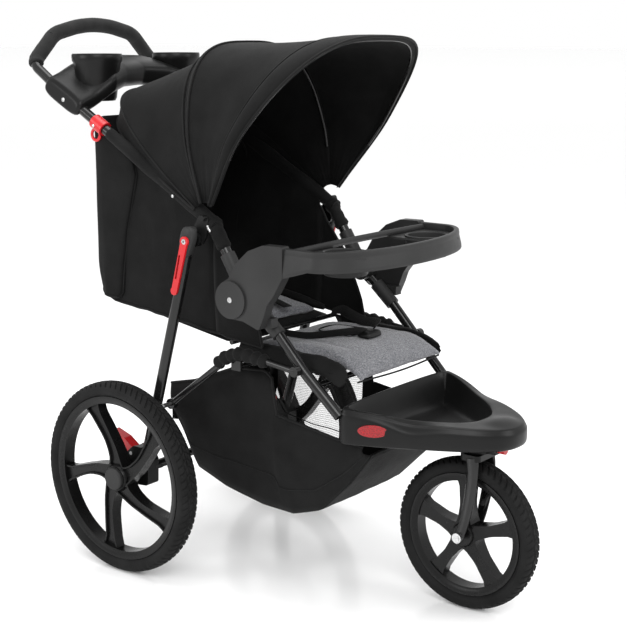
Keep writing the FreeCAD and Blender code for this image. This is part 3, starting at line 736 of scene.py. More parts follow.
def canopy():
    """Two bows, the skins between them, the piping and the padded band of the visor."""
    for name, bow, node, body in (("mid_bow", RIDGE, "canopy_mid_bow", "upper_frame"),
                                  ("front_bow", VISOR_FRONT, "canopy_front_bow", "canopy_front")):
        make(name, rod(arch(bow, mm(-7.5), 49)[3:-3], mm(3.6), sides=10), "tube_black", body,
             stands_for=[node])
    gore("rear_skin", REAR_BOW, RIDGE, "upper_frame", mm(4), 1.0, ["canopy_rear"])
    gore("tail_skin", TAIL, REAR_BOW, "upper_frame", mm(1), 3.0, [])
    visor_edge = bow_between(VISOR_BACK, VISOR_FRONT, 32.0)
    visor = gore("visor_skin", VISOR_BACK, visor_edge, "canopy_front", mm(5), 2.0, ["canopy_visor"])
    gather(visor)
    # the ridge: two cords of piping with a flat tape between
    cords = []
    for angle in (-16.2, -13.4):
        cords.append(piping(arch(bow_between(REAR_BOW, RIDGE, angle), mm(1.8)), mm(2.3)))
    make("ridge_piping_rear", merge(cords), BINDING, "upper_frame")
    cord = piping(arch(bow_between(VISOR_BACK, VISOR_FRONT, -10.6), mm(1.6)), mm(2.3))
    gather(make("ridge_piping_front", cord, BINDING, "canopy_front"))
    # rear edge binding
    edges = merge([piping(arch(TAIL), mm(3.0)), piping(arch(REAR_BOW, mm(0.8)), mm(1.8))])
    make("rear_edge_binding", edges, BINDING, "upper_frame")
    # padded visor band, with the front bow inside its front edge
    sections = []
    steps = 11
    base = [bow_between(VISOR_BACK, VISOR_FRONT, 27.0 + 7.6 * k / (steps - 1)) for k in range(steps)]
    outer = [arch(b, mm(0.6) + mm(4.6) * math.sin(math.pi * k / (steps - 1)) ** 0.55)
             for k, b in enumerate(base)]
    depth = np.interp(np.arange(steps), [0, 5, steps - 1], mms(1.5, 3, 11))
    inner = [arch(b, -d) for b, d in zip(base, depth)]
    ring = outer + inner[::-1]
    for j in range(outer[0].shape[0]):
        sections.append([r[j] for r in ring])
    band = make("visor_band", loft(sections), "fabric_black", "canopy_front", crease=70)
    edge = piping(arch(bow_between(VISOR_BACK, VISOR_FRONT, 34.7), mm(-1.0)), mm(2.6))
    seam = piping(arch(bow_between(VISOR_BACK, VISOR_FRONT, 26.9), mm(1.4)), mm(1.5))
    make("visor_piping", merge([edge, seam]), BINDING, "canopy_front")


# ---- seat pod -----------------------------------------------------------------------------------
def pod_low(y):
    """Height of the pod's lower edge along its side."""
    return np.interp(y, [mm(-62), mm(-7), mm(243), mm(345), mm(378), POD_REAR],
                     mms(499, 505, 537, 546, 562, 590))


def pod_high(y):
    """Height of the pod's upper edge: up the front edge, then under the handle tube."""
    front = np.interp(y, mms(-62, -52, -12, 40, 62),
                      mms(502, 545, 640, 704, 742))
    return np.where(y < mm(62), front, TUBE_BEND[1] - mm(8) + (y - TUBE_BEND[0]) * TUBE_SLOPE + mm(7))


def pod():
    """One sheet from the left front edge, round the back and along the right side."""
    side_y = np.concatenate([np.linspace(mm(-62), mm(60), FRONT_COLUMNS), np.linspace(mm(75), mm(372), 26)])
    turn = [math.radians(a) for a in (15, 35, 55, 75)]
    corner = [(POD_X - mm(22) * (1 - math.cos(a)), mm(372) + mm(22) * math.sin(a)) for a in turn]
    back_x = np.linspace(POD_X - mm(22), -POD_X + mm(22), 22)
    route = [(POD_X, y) for y in side_y] + corner + [(x, POD_REAR) for x in back_x]
    route += [(-x, y) for x, y in reversed(corner)] + [(-POD_X, y) for y in reversed(side_y)]
    columns = []
    rows = 34
    for x, y in route:
        low, high = float(pod_low(y)), float(pod_high(y))
        at_side = abs(x) > POD_X - mm(1)
        column = []
        for k in range(rows):
            f = k / (rows - 1)
            z = low + (high - low) * f
            fold = math.sin(math.pi * f) * min(1, (high - low) / mm(200))
            out = mm(5) * fold
            crease = mm(3.5) * math.exp(-((y - mm(150) + (z - mm(700)) * 0.25) / mm(16)) ** 2)
            crease += mm(2.5) * math.exp(-((y - mm(20) + (z - mm(640)) * 0.35) / mm(12)) ** 2)
            pull = mm(2.2) * ripple((x, y, z * 0.4), 16, 4.0) + mm(1.0) * ripple((x, y, z * 0.5), 45, 8.0)
            if at_side:
                meet = mm(12) * max(0, (f - 0.8) / 0.2) ** 2 if y > mm(62) else 0
                px = math.copysign(abs(x) - mm(4) + out - crease * fold + pull + meet, x)
                py = y
            else:
                px = x + math.copysign(out * 0.3, x)
                py = y - mm(3) + out * 0.6 + pull * 0.6
            if y > mm(340) and z > mm(890):
                py -= (z - mm(890)) * 0.12
            hem = mm(2.2) * ripple((x * 2, y * 2, 0), 22, 9.0) * (1 - f) ** 6
            column.append((px, py, z + hem))
        columns.append(column)
    middle = columns[FRONT_COLUMNS - 1:1 - FRONT_COLUMNS]
    sheet = make("pod_cloth", loft(middle, closed=False), "fabric_black", "upper_frame", skin=mm(1.6),
                 stands_for=["side_gussets", "head_wall"])
    cloth_of(middle)
    crush(sheet)
    hem = piping(np.array([c[0] for c in middle]), mm(3.0))
    crush(make("pod_binding", hem, BINDING, "upper_frame"))
    for name, corner in (("right", columns[:FRONT_COLUMNS]), ("left", columns[-FRONT_COLUMNS:])):
        front = make("pod_front_" + name, loft(corner, closed=False), "fabric_black", "upper_frame",
                     skin=mm(1.6))
        cloth_of(corner)
        ends = [piping(np.array([c[k] for c in corner]), mm(2.6)) for k in (0, -1)]
        edge = make("pod_front_binding_" + name, merge(ends), BINDING, "upper_frame")
        for piece in (front, edge):
            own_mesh(piece)


def crush(obj):
    """Give the pod's piece a mesh of its own."""
    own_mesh(obj)


def hood():
    """The rear cover: a deeper, round-cornered skin over the back third of the pod."""
    z_low, z_high = mm(556), mm(905)

    def front(z):
        return np.interp(z, [z_low, mm(560), mm(700), mm(820), mm(850), mm(880), z_high],
                         mms(330, 322, 300, 270, 276, 300, 338))

    rows = 30
    columns = []
    half = POD_X + mm(7)
    rear = POD_REAR + mm(5)
    for k in range(rows):
        z = z_low + (z_high - z_low) * k / (rows - 1)
        start = float(front(z))
        soften = 0.35 + 0.65 * math.sin(math.pi * min(1, k / 6) / 2)
        line = [(half - mm(6), start), (half + mm(1), start + mm(7)), (half + mm(2), (start + rear) / 2)]
        line += [(half, rear - mm(26)), (half - mm(7), rear - mm(8)), (half - mm(26), rear)]
        line += [(half * 0.5, rear + mm(2)), (0, rear + mm(3))]
        line = line + [(-x, y) for x, y in reversed(line[:-1])]
        line = smooth_line([(x, y, z) for x, y in line], 5)
        for p in line:
            p[0] *= 1 - (1 - soften) * 0.02
            p[1] -= (1 - soften) * mm(14) * (1 if p[1] > mm(370) else 0)
            p[0] += math.copysign(mm(1.4) * ripple((p[0], p[1], z * 0.35), 22, 12.0), p[0])
            p[1] += mm(1.2) * ripple((p[0] * 0.6, p[1], z * 0.5), 18, 14.0) if p[1] > mm(380) else 0
        columns.append(line)
    grid = np.array(columns)
    # lower corners round off
    for i in range(grid.shape[1]):
        y = grid[:, i, 1]
        lift = mm(26) * np.clip((y - mm(350)) / mm(50), 0, 1) ** 2
        lift += mm(8) * np.clip((mm(330) - y) / mm(30), 0, 1)
        f = np.linspace(1, 0, rows) ** 3
        grid[:, i, 2] += lift * f
    cover = make("pod_rear_cover", loft(grid, closed=False), "fabric_black", "upper_frame",
                 skin=mm(1.8))
    cloth_of(grid)
    crush(cover)
    edges = [piping(grid[:, 0], mm(2.2)), piping(grid[:, -1], mm(2.2)), piping(grid[0], mm(2.6))]
    crush(make("pod_cover_binding", merge(edges), BINDING, "upper_frame"))


def tube_sleeves():
    """Gathered cloth round the handle tubes, closed with press studs."""
    for name, side in SIDES.items():
        line = bent_line([(side * TUBE_X, mm(14), mm(693)), (side * TUBE_X, *TUBE_BEND),
                          (side * mm(189.3), mm(333), mm(903.5))], [mm(60)], 10)
        line = smooth_line(line[::2], 8)
        count = len(line)
        size = [mm(14.6) + mm(1.9) * ripple(p, 60, side) + mm(1.0) * math.sin(i * 1.7)
                for i, p in enumerate(line)]
        size[0] = size[-1] = mm(12.0)
        solid = rod(line, size, sides=20)
        made = make("tube_sleeve_" + name, solid, SOFT_BLACK, "upper_frame", crease=80)
        wrinkle(made, mm(1.2), 85, side)
        studs = []
        for f in (0.22, 0.40, 0.72, 0.9):
            p = Vector(line[int(f * (count - 1))]) + Vector((side * mm(14.5), 0, mm(-6)))
            studs.append(stud(p, side, (2, 3), (3.6, 3.4, 1.6)))
        make("sleeve_studs_" + name, merge(studs), "wire_steel", "upper_frame")


# ---- seat ---------------------------------------------------------------------------------------
def cushion(low, high, crown, pinch=mm(6), nx=24, ny=24):
    """A closed pad: crowned on top, pulled in along its sides between the corners."""
    x0, y0, z0 = low
    x1, y1, z1 = high
    rings = []
    for i in range(ny + 1):
        v = i / ny
        y = y0 + (y1 - y0) * v
        pull = pinch * math.sin(math.pi * v)
        ring = []
        for k in range(nx + 1):
            u = k / nx
            x = x0 + pull + (x1 - x0 - 2 * pull) * u
            shape = (math.sin(math.pi * u) * math.sin(math.pi * v)) ** 0.45 if 0 < u < 1 and 0 < v < 1 else 0
            end = pinch * math.sin(math.pi * u) * (1 - 2 * v)
            z = z0 + (z1 - z0) * (0.30 + 0.70 * shape) + crown * shape
            ring.append((x, y + end * (1 if v in (0, 1) else 0), z))
        for k in range(nx, -1, -1):
            u = k / nx
            x = x0 + pull + (x1 - x0 - 2 * pull) * u
            ring.append((x, y, z0))
        rings.append(ring)
    return loft(rings)


def seat():
    """The cushion with its piping, the padded wings, and the sling cloth below."""
    low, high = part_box("seat_pad")
    slim = mm(5)
    points, faces = cushion((low.x + slim, low.y - mm(12), low.z + mm(1)),
                            (high.x - slim, high.y - slim, high.z - mm(7)), mm(3))
    bend = low.y + mm(62)
    points = [(x, y, z - mm(30) * (max(0, bend - y) / mm(74)) ** 1.8) for x, y, z in points]
    pad = make("seat_cushion", (points, faces), "fabric_grey", None, stands_for=["seat_pad"])
    puff(pad, pressure=3.5, cap=mm(7))
    top = high.z
    front = low.y + mm(20)
    sew(pad, [[(low.x, front, top), (high.x, front, top)]], depth=mm(5), width=mm(5))
    sew(pad, [[(low.x + mm(55), front, top), (low.x + mm(70), high.y, top)],
              [(high.x - mm(55), front, top), (high.x - mm(70), high.y, top)]], depth=mm(2.2), width=mm(5))
    wrinkle(pad, mm(1.0), 28, 3.0)
    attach(pad, "seat_frame")
    edge = [(low.x + mm(6), low.y - mm(4), low.z - mm(22)), (0, low.y - mm(10), low.z - mm(24)),
            (high.x - mm(6), low.y - mm(4), low.z - mm(22))]
    make("seat_front_piping", piping(smooth_line(edge, 12), mm(2.0)), BINDING, "seat_frame")
    # padded wings down both sides
    wing_low, wing_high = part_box("seat_bolsters")
    for name, side in SIDES.items():
        rings = []
        count = 26
        for i in range(count):
            f = i / (count - 1)
            y = wing_low.y - mm(4) + (wing_high.y - wing_low.y + mm(4)) * f
            inner, outer = mm(143), mm(181) - mm(4) * math.sin(math.pi * f)
            fall = mm(24) * max(0, 1 - f / 0.30) ** 1.8
            top_z = wing_low.z + mm(28) + mm(10) * f ** 1.5 - fall
            drop = wing_low.z - mm(6) - fall * 0.8
            fat = 1 - 0.75 * max(0, 1 - f / 0.10) ** 2 - 0.4 * max(0, (f - 0.94) / 0.06)
            ring = []
            for k in range(20):
                a = math.tau * k / 20
                u, v = math.cos(a), math.sin(a)
                x = (inner + outer) / 2 + u * (outer - inner) / 2 * fat
                base = top_z + (drop - top_z) * (0.5 + 0.5 * u) ** 1.4
                ring.append((side * x, y, base - mm(9) + v * mm(9.5) * fat * (1 - 0.35 * abs(u))))
            rings.append(ring)
        wing = make("seat_wing_" + name, loft(rings), SOFT_BLACK, None, crease=80)
        puff(wing, pressure=2.5, cap=mm(4), voxel=mm(4))
        wrinkle(wing, mm(1.3), 34, side * 2.0)
        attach(wing, "seat_frame")
        if side < 0:
            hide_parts("seat_bolsters")
    # sling cloth under the pad
    base_low, base_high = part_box("seat_base")
    rings = []
    for i in range(15):
        f = i / 14
        y = base_low.y + mm(22) + (base_high.y - base_low.y - mm(22)) * f
        row = []
        for k in range(17):
            u = k / 16 * 2 - 1
            row.append((u * mm(177), y, base_low.z + mm(6) - mm(5) * (1 - u * u) * math.sin(math.pi * f)
                        + mm(1.2) * ripple((u, f * 2, 0), 3)))
        rings.append(row)
    sling = make("seat_sling", loft(rings, closed=False), SOFT_BLACK, "seat_frame", skin=mm(3),
                 levels=1, stands_for=["seat_base"])
    cloth_of(rings)


def lean(points):
    """Turn flat-drawn points of the backrest up to its reclined angle."""
    c, s = math.cos(BACK_TURN), math.sin(BACK_TURN)
    out = []
    for x, y, z in points:
        dy, dz = y - RECLINE.y, z - RECLINE.z
        out.append((x, RECLINE.y + dy * c - dz * s, RECLINE.z + dy * s + dz * c))
    return out


def backrest():
    """The back cushion, its board in cloth, and a padded wing down each side."""
    y, z = RECLINE.y, RECLINE.z
    solid = cushion((mm(-144), y + mm(26), z + mm(5)), (mm(144), y + mm(325), z + mm(22)), mm(1))
    pad = make("back_cushion", (lean(solid[0]), solid[1]), "fabric_grey", None,
               stands_for=["back_pad"])
    puff(pad, pressure=3.0, cap=mm(6))
    for across in (mm(120), mm(215)):
        seam = lean([(mm(-150), y + across, z + mm(30)), (mm(150), y + across, z + mm(30))])
        sew(pad, [seam], mm(3), mm(4))
    wrinkle(pad, mm(0.9), 30, 6.0)
    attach(pad, "backrest")
    board = cushion((mm(-168), y + mm(4), z - mm(4)), (mm(168), y + mm(336), z + mm(4)), mm(0.5),
                    pinch=mm(1))
    make("back_panel", (lean(board[0]), board[1]), SOFT_BLACK, "backrest", levels=1,
         stands_for=["backrest_board"])
    # side wings of the backrest
    for name, side in SIDES.items():
        line = lean([(side * mm(157), y + d, z + mm(14)) for d in mms(20, 80, 180, 280, 330)])
        size = mms(6, 10.5, 11, 10.5, 6)
        size = np.interp(np.linspace(0, 1, 25), np.linspace(0, 1, 5), size)
        wing = make("back_wing_" + name, rod(smooth_line(line, 6), size, sides=16), SOFT_BLACK, None,
                    crease=80)
        wrinkle(wing, mm(1.4), 36, side * 3.0)
        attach(wing, "backrest")


def harness():
    """Shoulder pads and straps on the back, waist straps, crotch pad and buckle on the seat."""
    y, z = RECLINE.y, RECLINE.z
    for name, side in SIDES.items():
        pad_low = cushion((side * STRAP_X - mm(24), y + mm(114), z + mm(31)),
                          (side * STRAP_X + mm(24), y + mm(286), z + mm(38)), mm(1), pinch=mm(1), nx=12,
                          ny=24)
        pad = make("shoulder_pad_" + name, (lean(pad_low[0]), pad_low[1]), "fabric_grey", None)
        puff(pad, pressure=2.0, cap=mm(3), voxel=mm(3.5))
        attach(pad, "backrest")
        if side < 0:
            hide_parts("shoulder_pads")
        line = lean([(side * STRAP_X, y + mm(318), z + mm(28)), (side * STRAP_X, y + mm(292), z + mm(37)),
                     (side * STRAP_X, y + mm(200), z + mm(42)), (side * mm(46), y + mm(110), z + mm(37)),
                     (side * mm(42), y + mm(60), z + mm(34)), (side * mm(36), y + mm(28), z + mm(33))])
        web = strap(smooth_line(line, 8), (1, 0, 0), mm(25))
        make("shoulder_strap_" + name, web, WEBBING, "backrest")
        # waist strap from the back corner of the seat to the buckle
        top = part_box("seat_pad")[1].z
        line = [(side * mm(128), mm(-6), top + mm(6)), (side * mm(124), mm(-34), top + mm(16)),
                (side * mm(112), mm(-66), top + mm(12)), (side * mm(92), mm(-112), top + mm(8)),
                (side * mm(66), mm(-160), top + mm(15)), (side * mm(38), mm(-190), top + mm(19)),
                (side * mm(14), mm(-195), top + mm(13))]
        web = strap(smooth_line(line, 8), (side * 0.75, 0.9, 0.35), mm(23))
        make("waist_strap_" + name, web, WEBBING, "seat_frame")
    low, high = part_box("crotch_pad")
    solid = cushion((low.x + mm(2), low.y + mm(2), low.z + mm(0.5)),
                    (high.x - mm(2), high.y - mm(2), high.z - mm(3)), mm(1), mm(1), 14, 16)
    flap = make("crotch_cushion", solid, "fabric_grey", None, stands_for=["crotch_pad"])
    puff(flap, pressure=2.0, cap=mm(3), voxel=mm(3.5))
    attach(flap, "seat_frame")
    edge = outline([(low.x, low.y), (high.x, low.y), (high.x, high.y), (low.x, high.y)], 3, 48)
    loop = piping([(x, y_, low.z + mm(5)) for x, y_ in edge], mm(1.8))
    make("crotch_piping", loop, BINDING, "seat_frame")
    low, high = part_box("harness_buckle")
    body = outline([(low.x, low.y + mm(4)), (low.x + mm(8), low.y), (high.x - mm(8), low.y),
                    (high.x, low.y + mm(4)), (high.x - mm(2), high.y), (low.x + mm(2), high.y)], 3, 40)
    rings = []
    for by, height in ((3, 0), (0.4, 2), (0, 6), (1.2, 10), (5, 13.2), (11, 14.0)):
        rings.append([(x, y_, low.z + mm(height)) for x, y_ in inset(body, mm(by))])
    make("buckle_shell", loft(rings), "plastic_black", "seat_frame", levels=1,
         stands_for=["harness_buckle"])
    button = []
    middle = (low + high) / 2
    for r, height in ((9, 12.8), (9, 15.0), (7.6, 15.9), (4, 15.6)):
        turn = [math.tau * k / 32 for k in range(32)]
        button.append([(middle.x + mm(r) * math.cos(a), middle.y + mm(r) * math.sin(a), low.z + mm(height))
                       for a in turn])
    make("buckle_button", loft(button), "plastic_grey", "seat_frame", levels=1)


# ---- basket -------------------------------------------------------------------------------------
def basket():
    """A sagging cloth tub with an open top, and a net window in its right side."""
    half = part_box("basket")[1].x
    floor_y = mms(196, 150, 70, -30, -110, -180, -250, -304)
    floor_z = mms(300, 206, 178, 160, 157, 180, 250, 322)
    rim_y = mms(200, 130, 20, -60, -76, -90, -160, -240, -304)
    rim_z = mms(386, 402, 446, 452, 440, 366, 356, 344, 340)
    y_all = np.linspace(*BASKET_Y, 72)
    rows = 16
    for name, side in SIDES.items():
        grid = []
        for y in y_all:
            z0 = np.interp(-y, [-v for v in floor_y], floor_z)
            z1 = max(np.interp(-y, [-v for v in rim_y], rim_z), z0 + mm(8))
            column = []
            for k in range(rows):
                f = k / (rows - 1)
                z = z0 + (z1 - z0) * f
                lean_in = mm(26) * (1 - f) ** 3
                slack = mm(4) * math.sin(math.pi * f) + mm(2.5) * ripple((0, y, z), 15, side)
                column.append((side * (half - mm(5) - lean_in + slack), y, z))
            grid.append(column)
        grid = np.array(grid)
        points, faces = loft(grid, closed=False)
        kept = []
        window = []
        for face in faces:
            y = np.mean([points[i][1] for i in face])
            z = np.mean([points[i][2] for i in face])
            upper = np.interp(-y, [-v for v in rim_y], rim_z) - mm(16)
            inside = mm(-60) < y < mm(176) and mm(212) < z < upper
            (window if inside and side > 0 else kept).append(face)
        cloth_side = make("basket_side_" + name, (points, kept), SOFT_BLACK, "rear_frame",
                          skin=mm(1.4))
        squeeze(cloth_side)
        netting = net("basket_net_" + name, points, window, 4)
        cloth_of(grid)
        top = piping(grid[:, -1], mm(2.8))
        seam = piping(grid[:, 4] + np.array([side * mm(1.2), 0, 0]), mm(1.3))
        squeeze(make("basket_piping_" + name, merge([top, seam]), BINDING, "rear_frame"))
    # floor, front and back as one sheet
    belly_y = np.linspace(*BASKET_Y, 60)
    grid = []
    for y in belly_y:
        z0 = np.interp(-y, [-v for v in floor_y], floor_z)
        row = []
        for k in range(25):
            u = k / 24 * 2 - 1
            sag = mm(7) * (1 - u * u) * math.exp(-((y + mm(60)) / mm(150)) ** 2)
            row.append((u * (half - mm(31)), y, z0 - sag * 0.5 + mm(1.5) * ripple((u * 0.3, y, 0), 12, 2.0)))
        grid.append(row)
    # the back wall rises to its own rim
    for z in np.linspace(mm(306), mm(376), 8):
        grid.append([((k / 24 * 2 - 1) * (half - mm(8)), mm(199), z) for k in range(25)])
    belly = make("basket_belly", loft(grid, closed=False), SOFT_BLACK, "rear_frame", skin=mm(1.6),
                 stands_for=["basket"])
    cloth_of(grid)
    squeeze(belly)
    rims = [piping(np.array(grid[0]), mm(2.8)), piping(np.array(grid[-1]), mm(2.8))]
    squeeze(make("basket_rims", merge(rims), BINDING, "rear_frame"))


def net(name, points, faces, cuts):
    """Open netting over some faces, as real threads."""
    if not faces:
        return None
    mesh = bpy.data.meshes.new(name)
    mesh.from_pydata([tuple(p) for p in points], [], faces)
    work = bmesh.new()
    work.from_mesh(mesh)
    loose = [v for v in work.verts if not v.link_faces]
    bmesh.ops.delete(work, geom=loose, context="VERTS")
    bmesh.ops.subdivide_edges(work, edges=work.edges[:], cuts=cuts - 1, use_grid_fill=True)
    work.to_mesh(mesh)
    work.free()
    mesh.materials.append(NETTING[1])
    obj = bpy.data.objects.new(name, mesh)
    SCENE.collection.objects.link(obj)
    threads = obj.modifiers.new("threads", "WIREFRAME")
    threads.thickness = mm(0.9)
    threads.use_replace = True
    threads.use_even_offset = False
    applied(obj)
    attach(obj, "rear_frame")
    squeeze(obj)
    return obj


def squeeze(obj):
    """Give the basket's piece a mesh of its own."""
    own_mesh(obj)


def belts():
    """Gathered cloth round each brace where it passes under the seat."""
    for name, side in SIDES.items():
        places = ((22, 464), (-8, 483), (-40, 492), (-80, 489), (-108, 485))
        line = smooth_line(mirrored(side, [(212, y, z) for y, z in places]), 10)
        size = [mm(12.5) + mm(2.0) * math.sin(i * 1.1) + mm(1.5) * ripple(p, 70, 3)
                for i, p in enumerate(line)]
        size[0] = size[-1] = mm(8)
        made = make("brace_belt_" + name, rod(line, size, sides=20), SOFT_BLACK, "seat_frame",
                    crease=80)
        wrinkle(made, mm(1.2), 95, side)


# ---- handle and console -------------------------------------------------------------------------
def handle():
    """The foam grip over the arched bar."""
    grip_y = mm(573)
    right = [(mm(181), grip_y, mm(1043)), (mm(118), grip_y, mm(1106))]
    points = [(mm(187), mm(468), mm(979))] + right + [(0, grip_y, mm(1135))]
    points += [(-x, y, z) for x, y, z in reversed(right)] + [(mm(-187), mm(468), mm(979))]
    line = bent_line(points, mms(34, 60, 320, 60, 34), 12)
    keep = np.array([p for p in line if p[2] > mm(1040)])
    line = smooth_line(keep[::2] if len(keep) % 2 else np.vstack([keep[::2], keep[-1:]]), 5)
    size = np.full(len(line), mm(16.2))
    size[:3] = (mm(13.5), mm(15.6), mm(16.2))
    size[-3:] = (mm(16.2), mm(15.6), mm(13.5))
    grip = make("grip_foam", rod(line, size, sides=28, across=(0, 1, 0)), "foam", "upper_frame",
                crease=70, stands_for=["foam_grip"])
    wrinkle(grip, mm(0.35), 60, 2.0)


def console():
    """The parent shelf: clamps on both tubes, a raised saddle and two cup holders with lips."""
    rings = []
    # millimetres from the middle, where the section's measures are given
    wide, narrow = [0, 70, 122, 165, 204], [0, 60, 122, 165, 204]
    xs = np.concatenate([[-204.5, -204, -202], np.linspace(-198, 198, 41), [202, 204, 204.5]])
    for x in xs:
        a = abs(x)
        end = max(0, (a - 198) / 6.5)
        centre_y = np.interp(a, wide, [468, 460, 450, 460, 462])
        centre_z = np.interp(a, narrow, [1028, 1026, 1014, 988, 975])
        long = np.interp(a, wide, [52, 60, 70, 62, 58]) * (1 - 0.10 * end ** 2)
        thick = np.interp(a, narrow, [27, 27, 26, 25, 21]) * (1 - 0.35 * end ** 2)
        tilt = math.radians(np.interp(a, wide, [14, 12, 12, 24, 29]))
        ring = []
        for k in range(36):
            t = math.tau * k / 36
            u = math.copysign(abs(math.cos(t)) ** 0.55, math.cos(t)) * long
            v = math.copysign(abs(math.sin(t)) ** 0.55, math.sin(t)) * thick
            ring.append((mm(x), mm(centre_y + u * math.cos(tilt) - v * math.sin(tilt)),
                         mm(centre_z + u * math.sin(tilt) + v * math.cos(tilt))))
        rings.append(ring)
    shell = make("console_shell", loft(rings), "plastic_black", None, crease=60)
    remesh(shell, mm(3), 3)
    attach(shell, "upper_frame")
    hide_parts("parent_console")
    for name, side in SIDES.items():
        centre = (side * mm(122), mm(436), 0)
        wall = [(0, 966), (37, 966), (40, 972), (50.0, 1044), (53.4, 1050), (54.0, 1061), (52.4, 1064.6)]
        wall += [(46.5, 1064.2), (44.6, 1060), (43.6, 1050), (37, 978), (34, 973.5), (0, 973)]
        cup = revolve([(mm(r), mm(z)) for r, z in wall], centre, axis="Z", steps=72)
        make("console_cup_" + name, cup, "plastic_black", "upper_frame", crease=40)
        p = Vector((side * mm(204), mm(455), mm(970)))
        rivet = stud(p, side, (1.6, 2.6), (5, 4.6, 2), sides=20)
        make("console_rivet_" + name, rivet, "wire_steel", "upper_frame")


# ---- front --------------------------------------------------------------------------------------
def footrest():
    """A deep moulded tray with a wavy shoulder and a solid nose over the wheel."""
    rear, nose = mm(-247.5), mm(-550)
    outer = outline([(mm(-194), rear), (mm(194), rear), (mm(192), mm(-292)), (mm(66), nose), (mm(-66), nose),
                     (mm(-192), mm(-292))], 4, 96)
    well = outline([(mm(-176), mm(-256)), (mm(176), mm(-256)), (mm(168), mm(-300)), (mm(58), mm(-470)),
                    (mm(-58), mm(-470)), (mm(-168), mm(-300))], 4, 96)

    def rim_z(y):
        return np.interp(y, [nose, mm(-470), mm(-380), mm(-310), mm(-262), rear],
                         mms(386, 392, 399, 411, 417, 417))

    def wave(y):
        """The crease along the side dips ahead of the lens."""
        return mm(-12) * math.exp(-((y + mm(392)) / mm(40)) ** 2)

    rings = []
    for by, height in ((16, 345.6), (6, 345.6), (3.0, 349), (2.0, 356)):
        rings.append([(x, y, mm(height)) for x, y in inset(outer, mm(by))])
    for by, drop in ((2.2, 17), (2.6, 10), (5.5, 7), (7.0, 2.5), (9.5, 0.4), (13, 0)):
        share = 1 if drop > 5 else 0.4
        rings.append([(x, y, float(rim_z(y)) - mm(drop) + wave(y) * share) for x, y in inset(outer, mm(by))])
    start = inset(outer, mm(13))
    for f in (0.25, 0.5, 0.75, 1.0):
        ring = []
        for (x0, y0), (x1, y1) in zip(start, well):
            x, y = x0 + (x1 - x0) * f, y0 + (y1 - y0) * f
            lift = mm(7) * math.exp(-((x / mm(34)) ** 2 + ((y + mm(505)) / mm(22)) ** 2) ** 2)
            ring.append((x, y, float(rim_z(y)) + wave(y) * 0.4 * (1 - f) - mm(1.5) * f + lift))
        rings.append(ring)
    for by, drop in ((2, 4), (5, 14)):
        rings.append([(x, y, float(rim_z(y)) - mm(drop)) for x, y in inset(well, mm(by))])
    for by, height in ((16, 366), (24, 356), (34, 352.5), (60, 352)):
        rings.append([(x, y, mm(height)) for x, y in inset(well, mm(by))])
    make("footrest_tray", loft(rings), "plastic_black", "front_frame", crease=70,
         levels=1, stands_for=["footrest"])


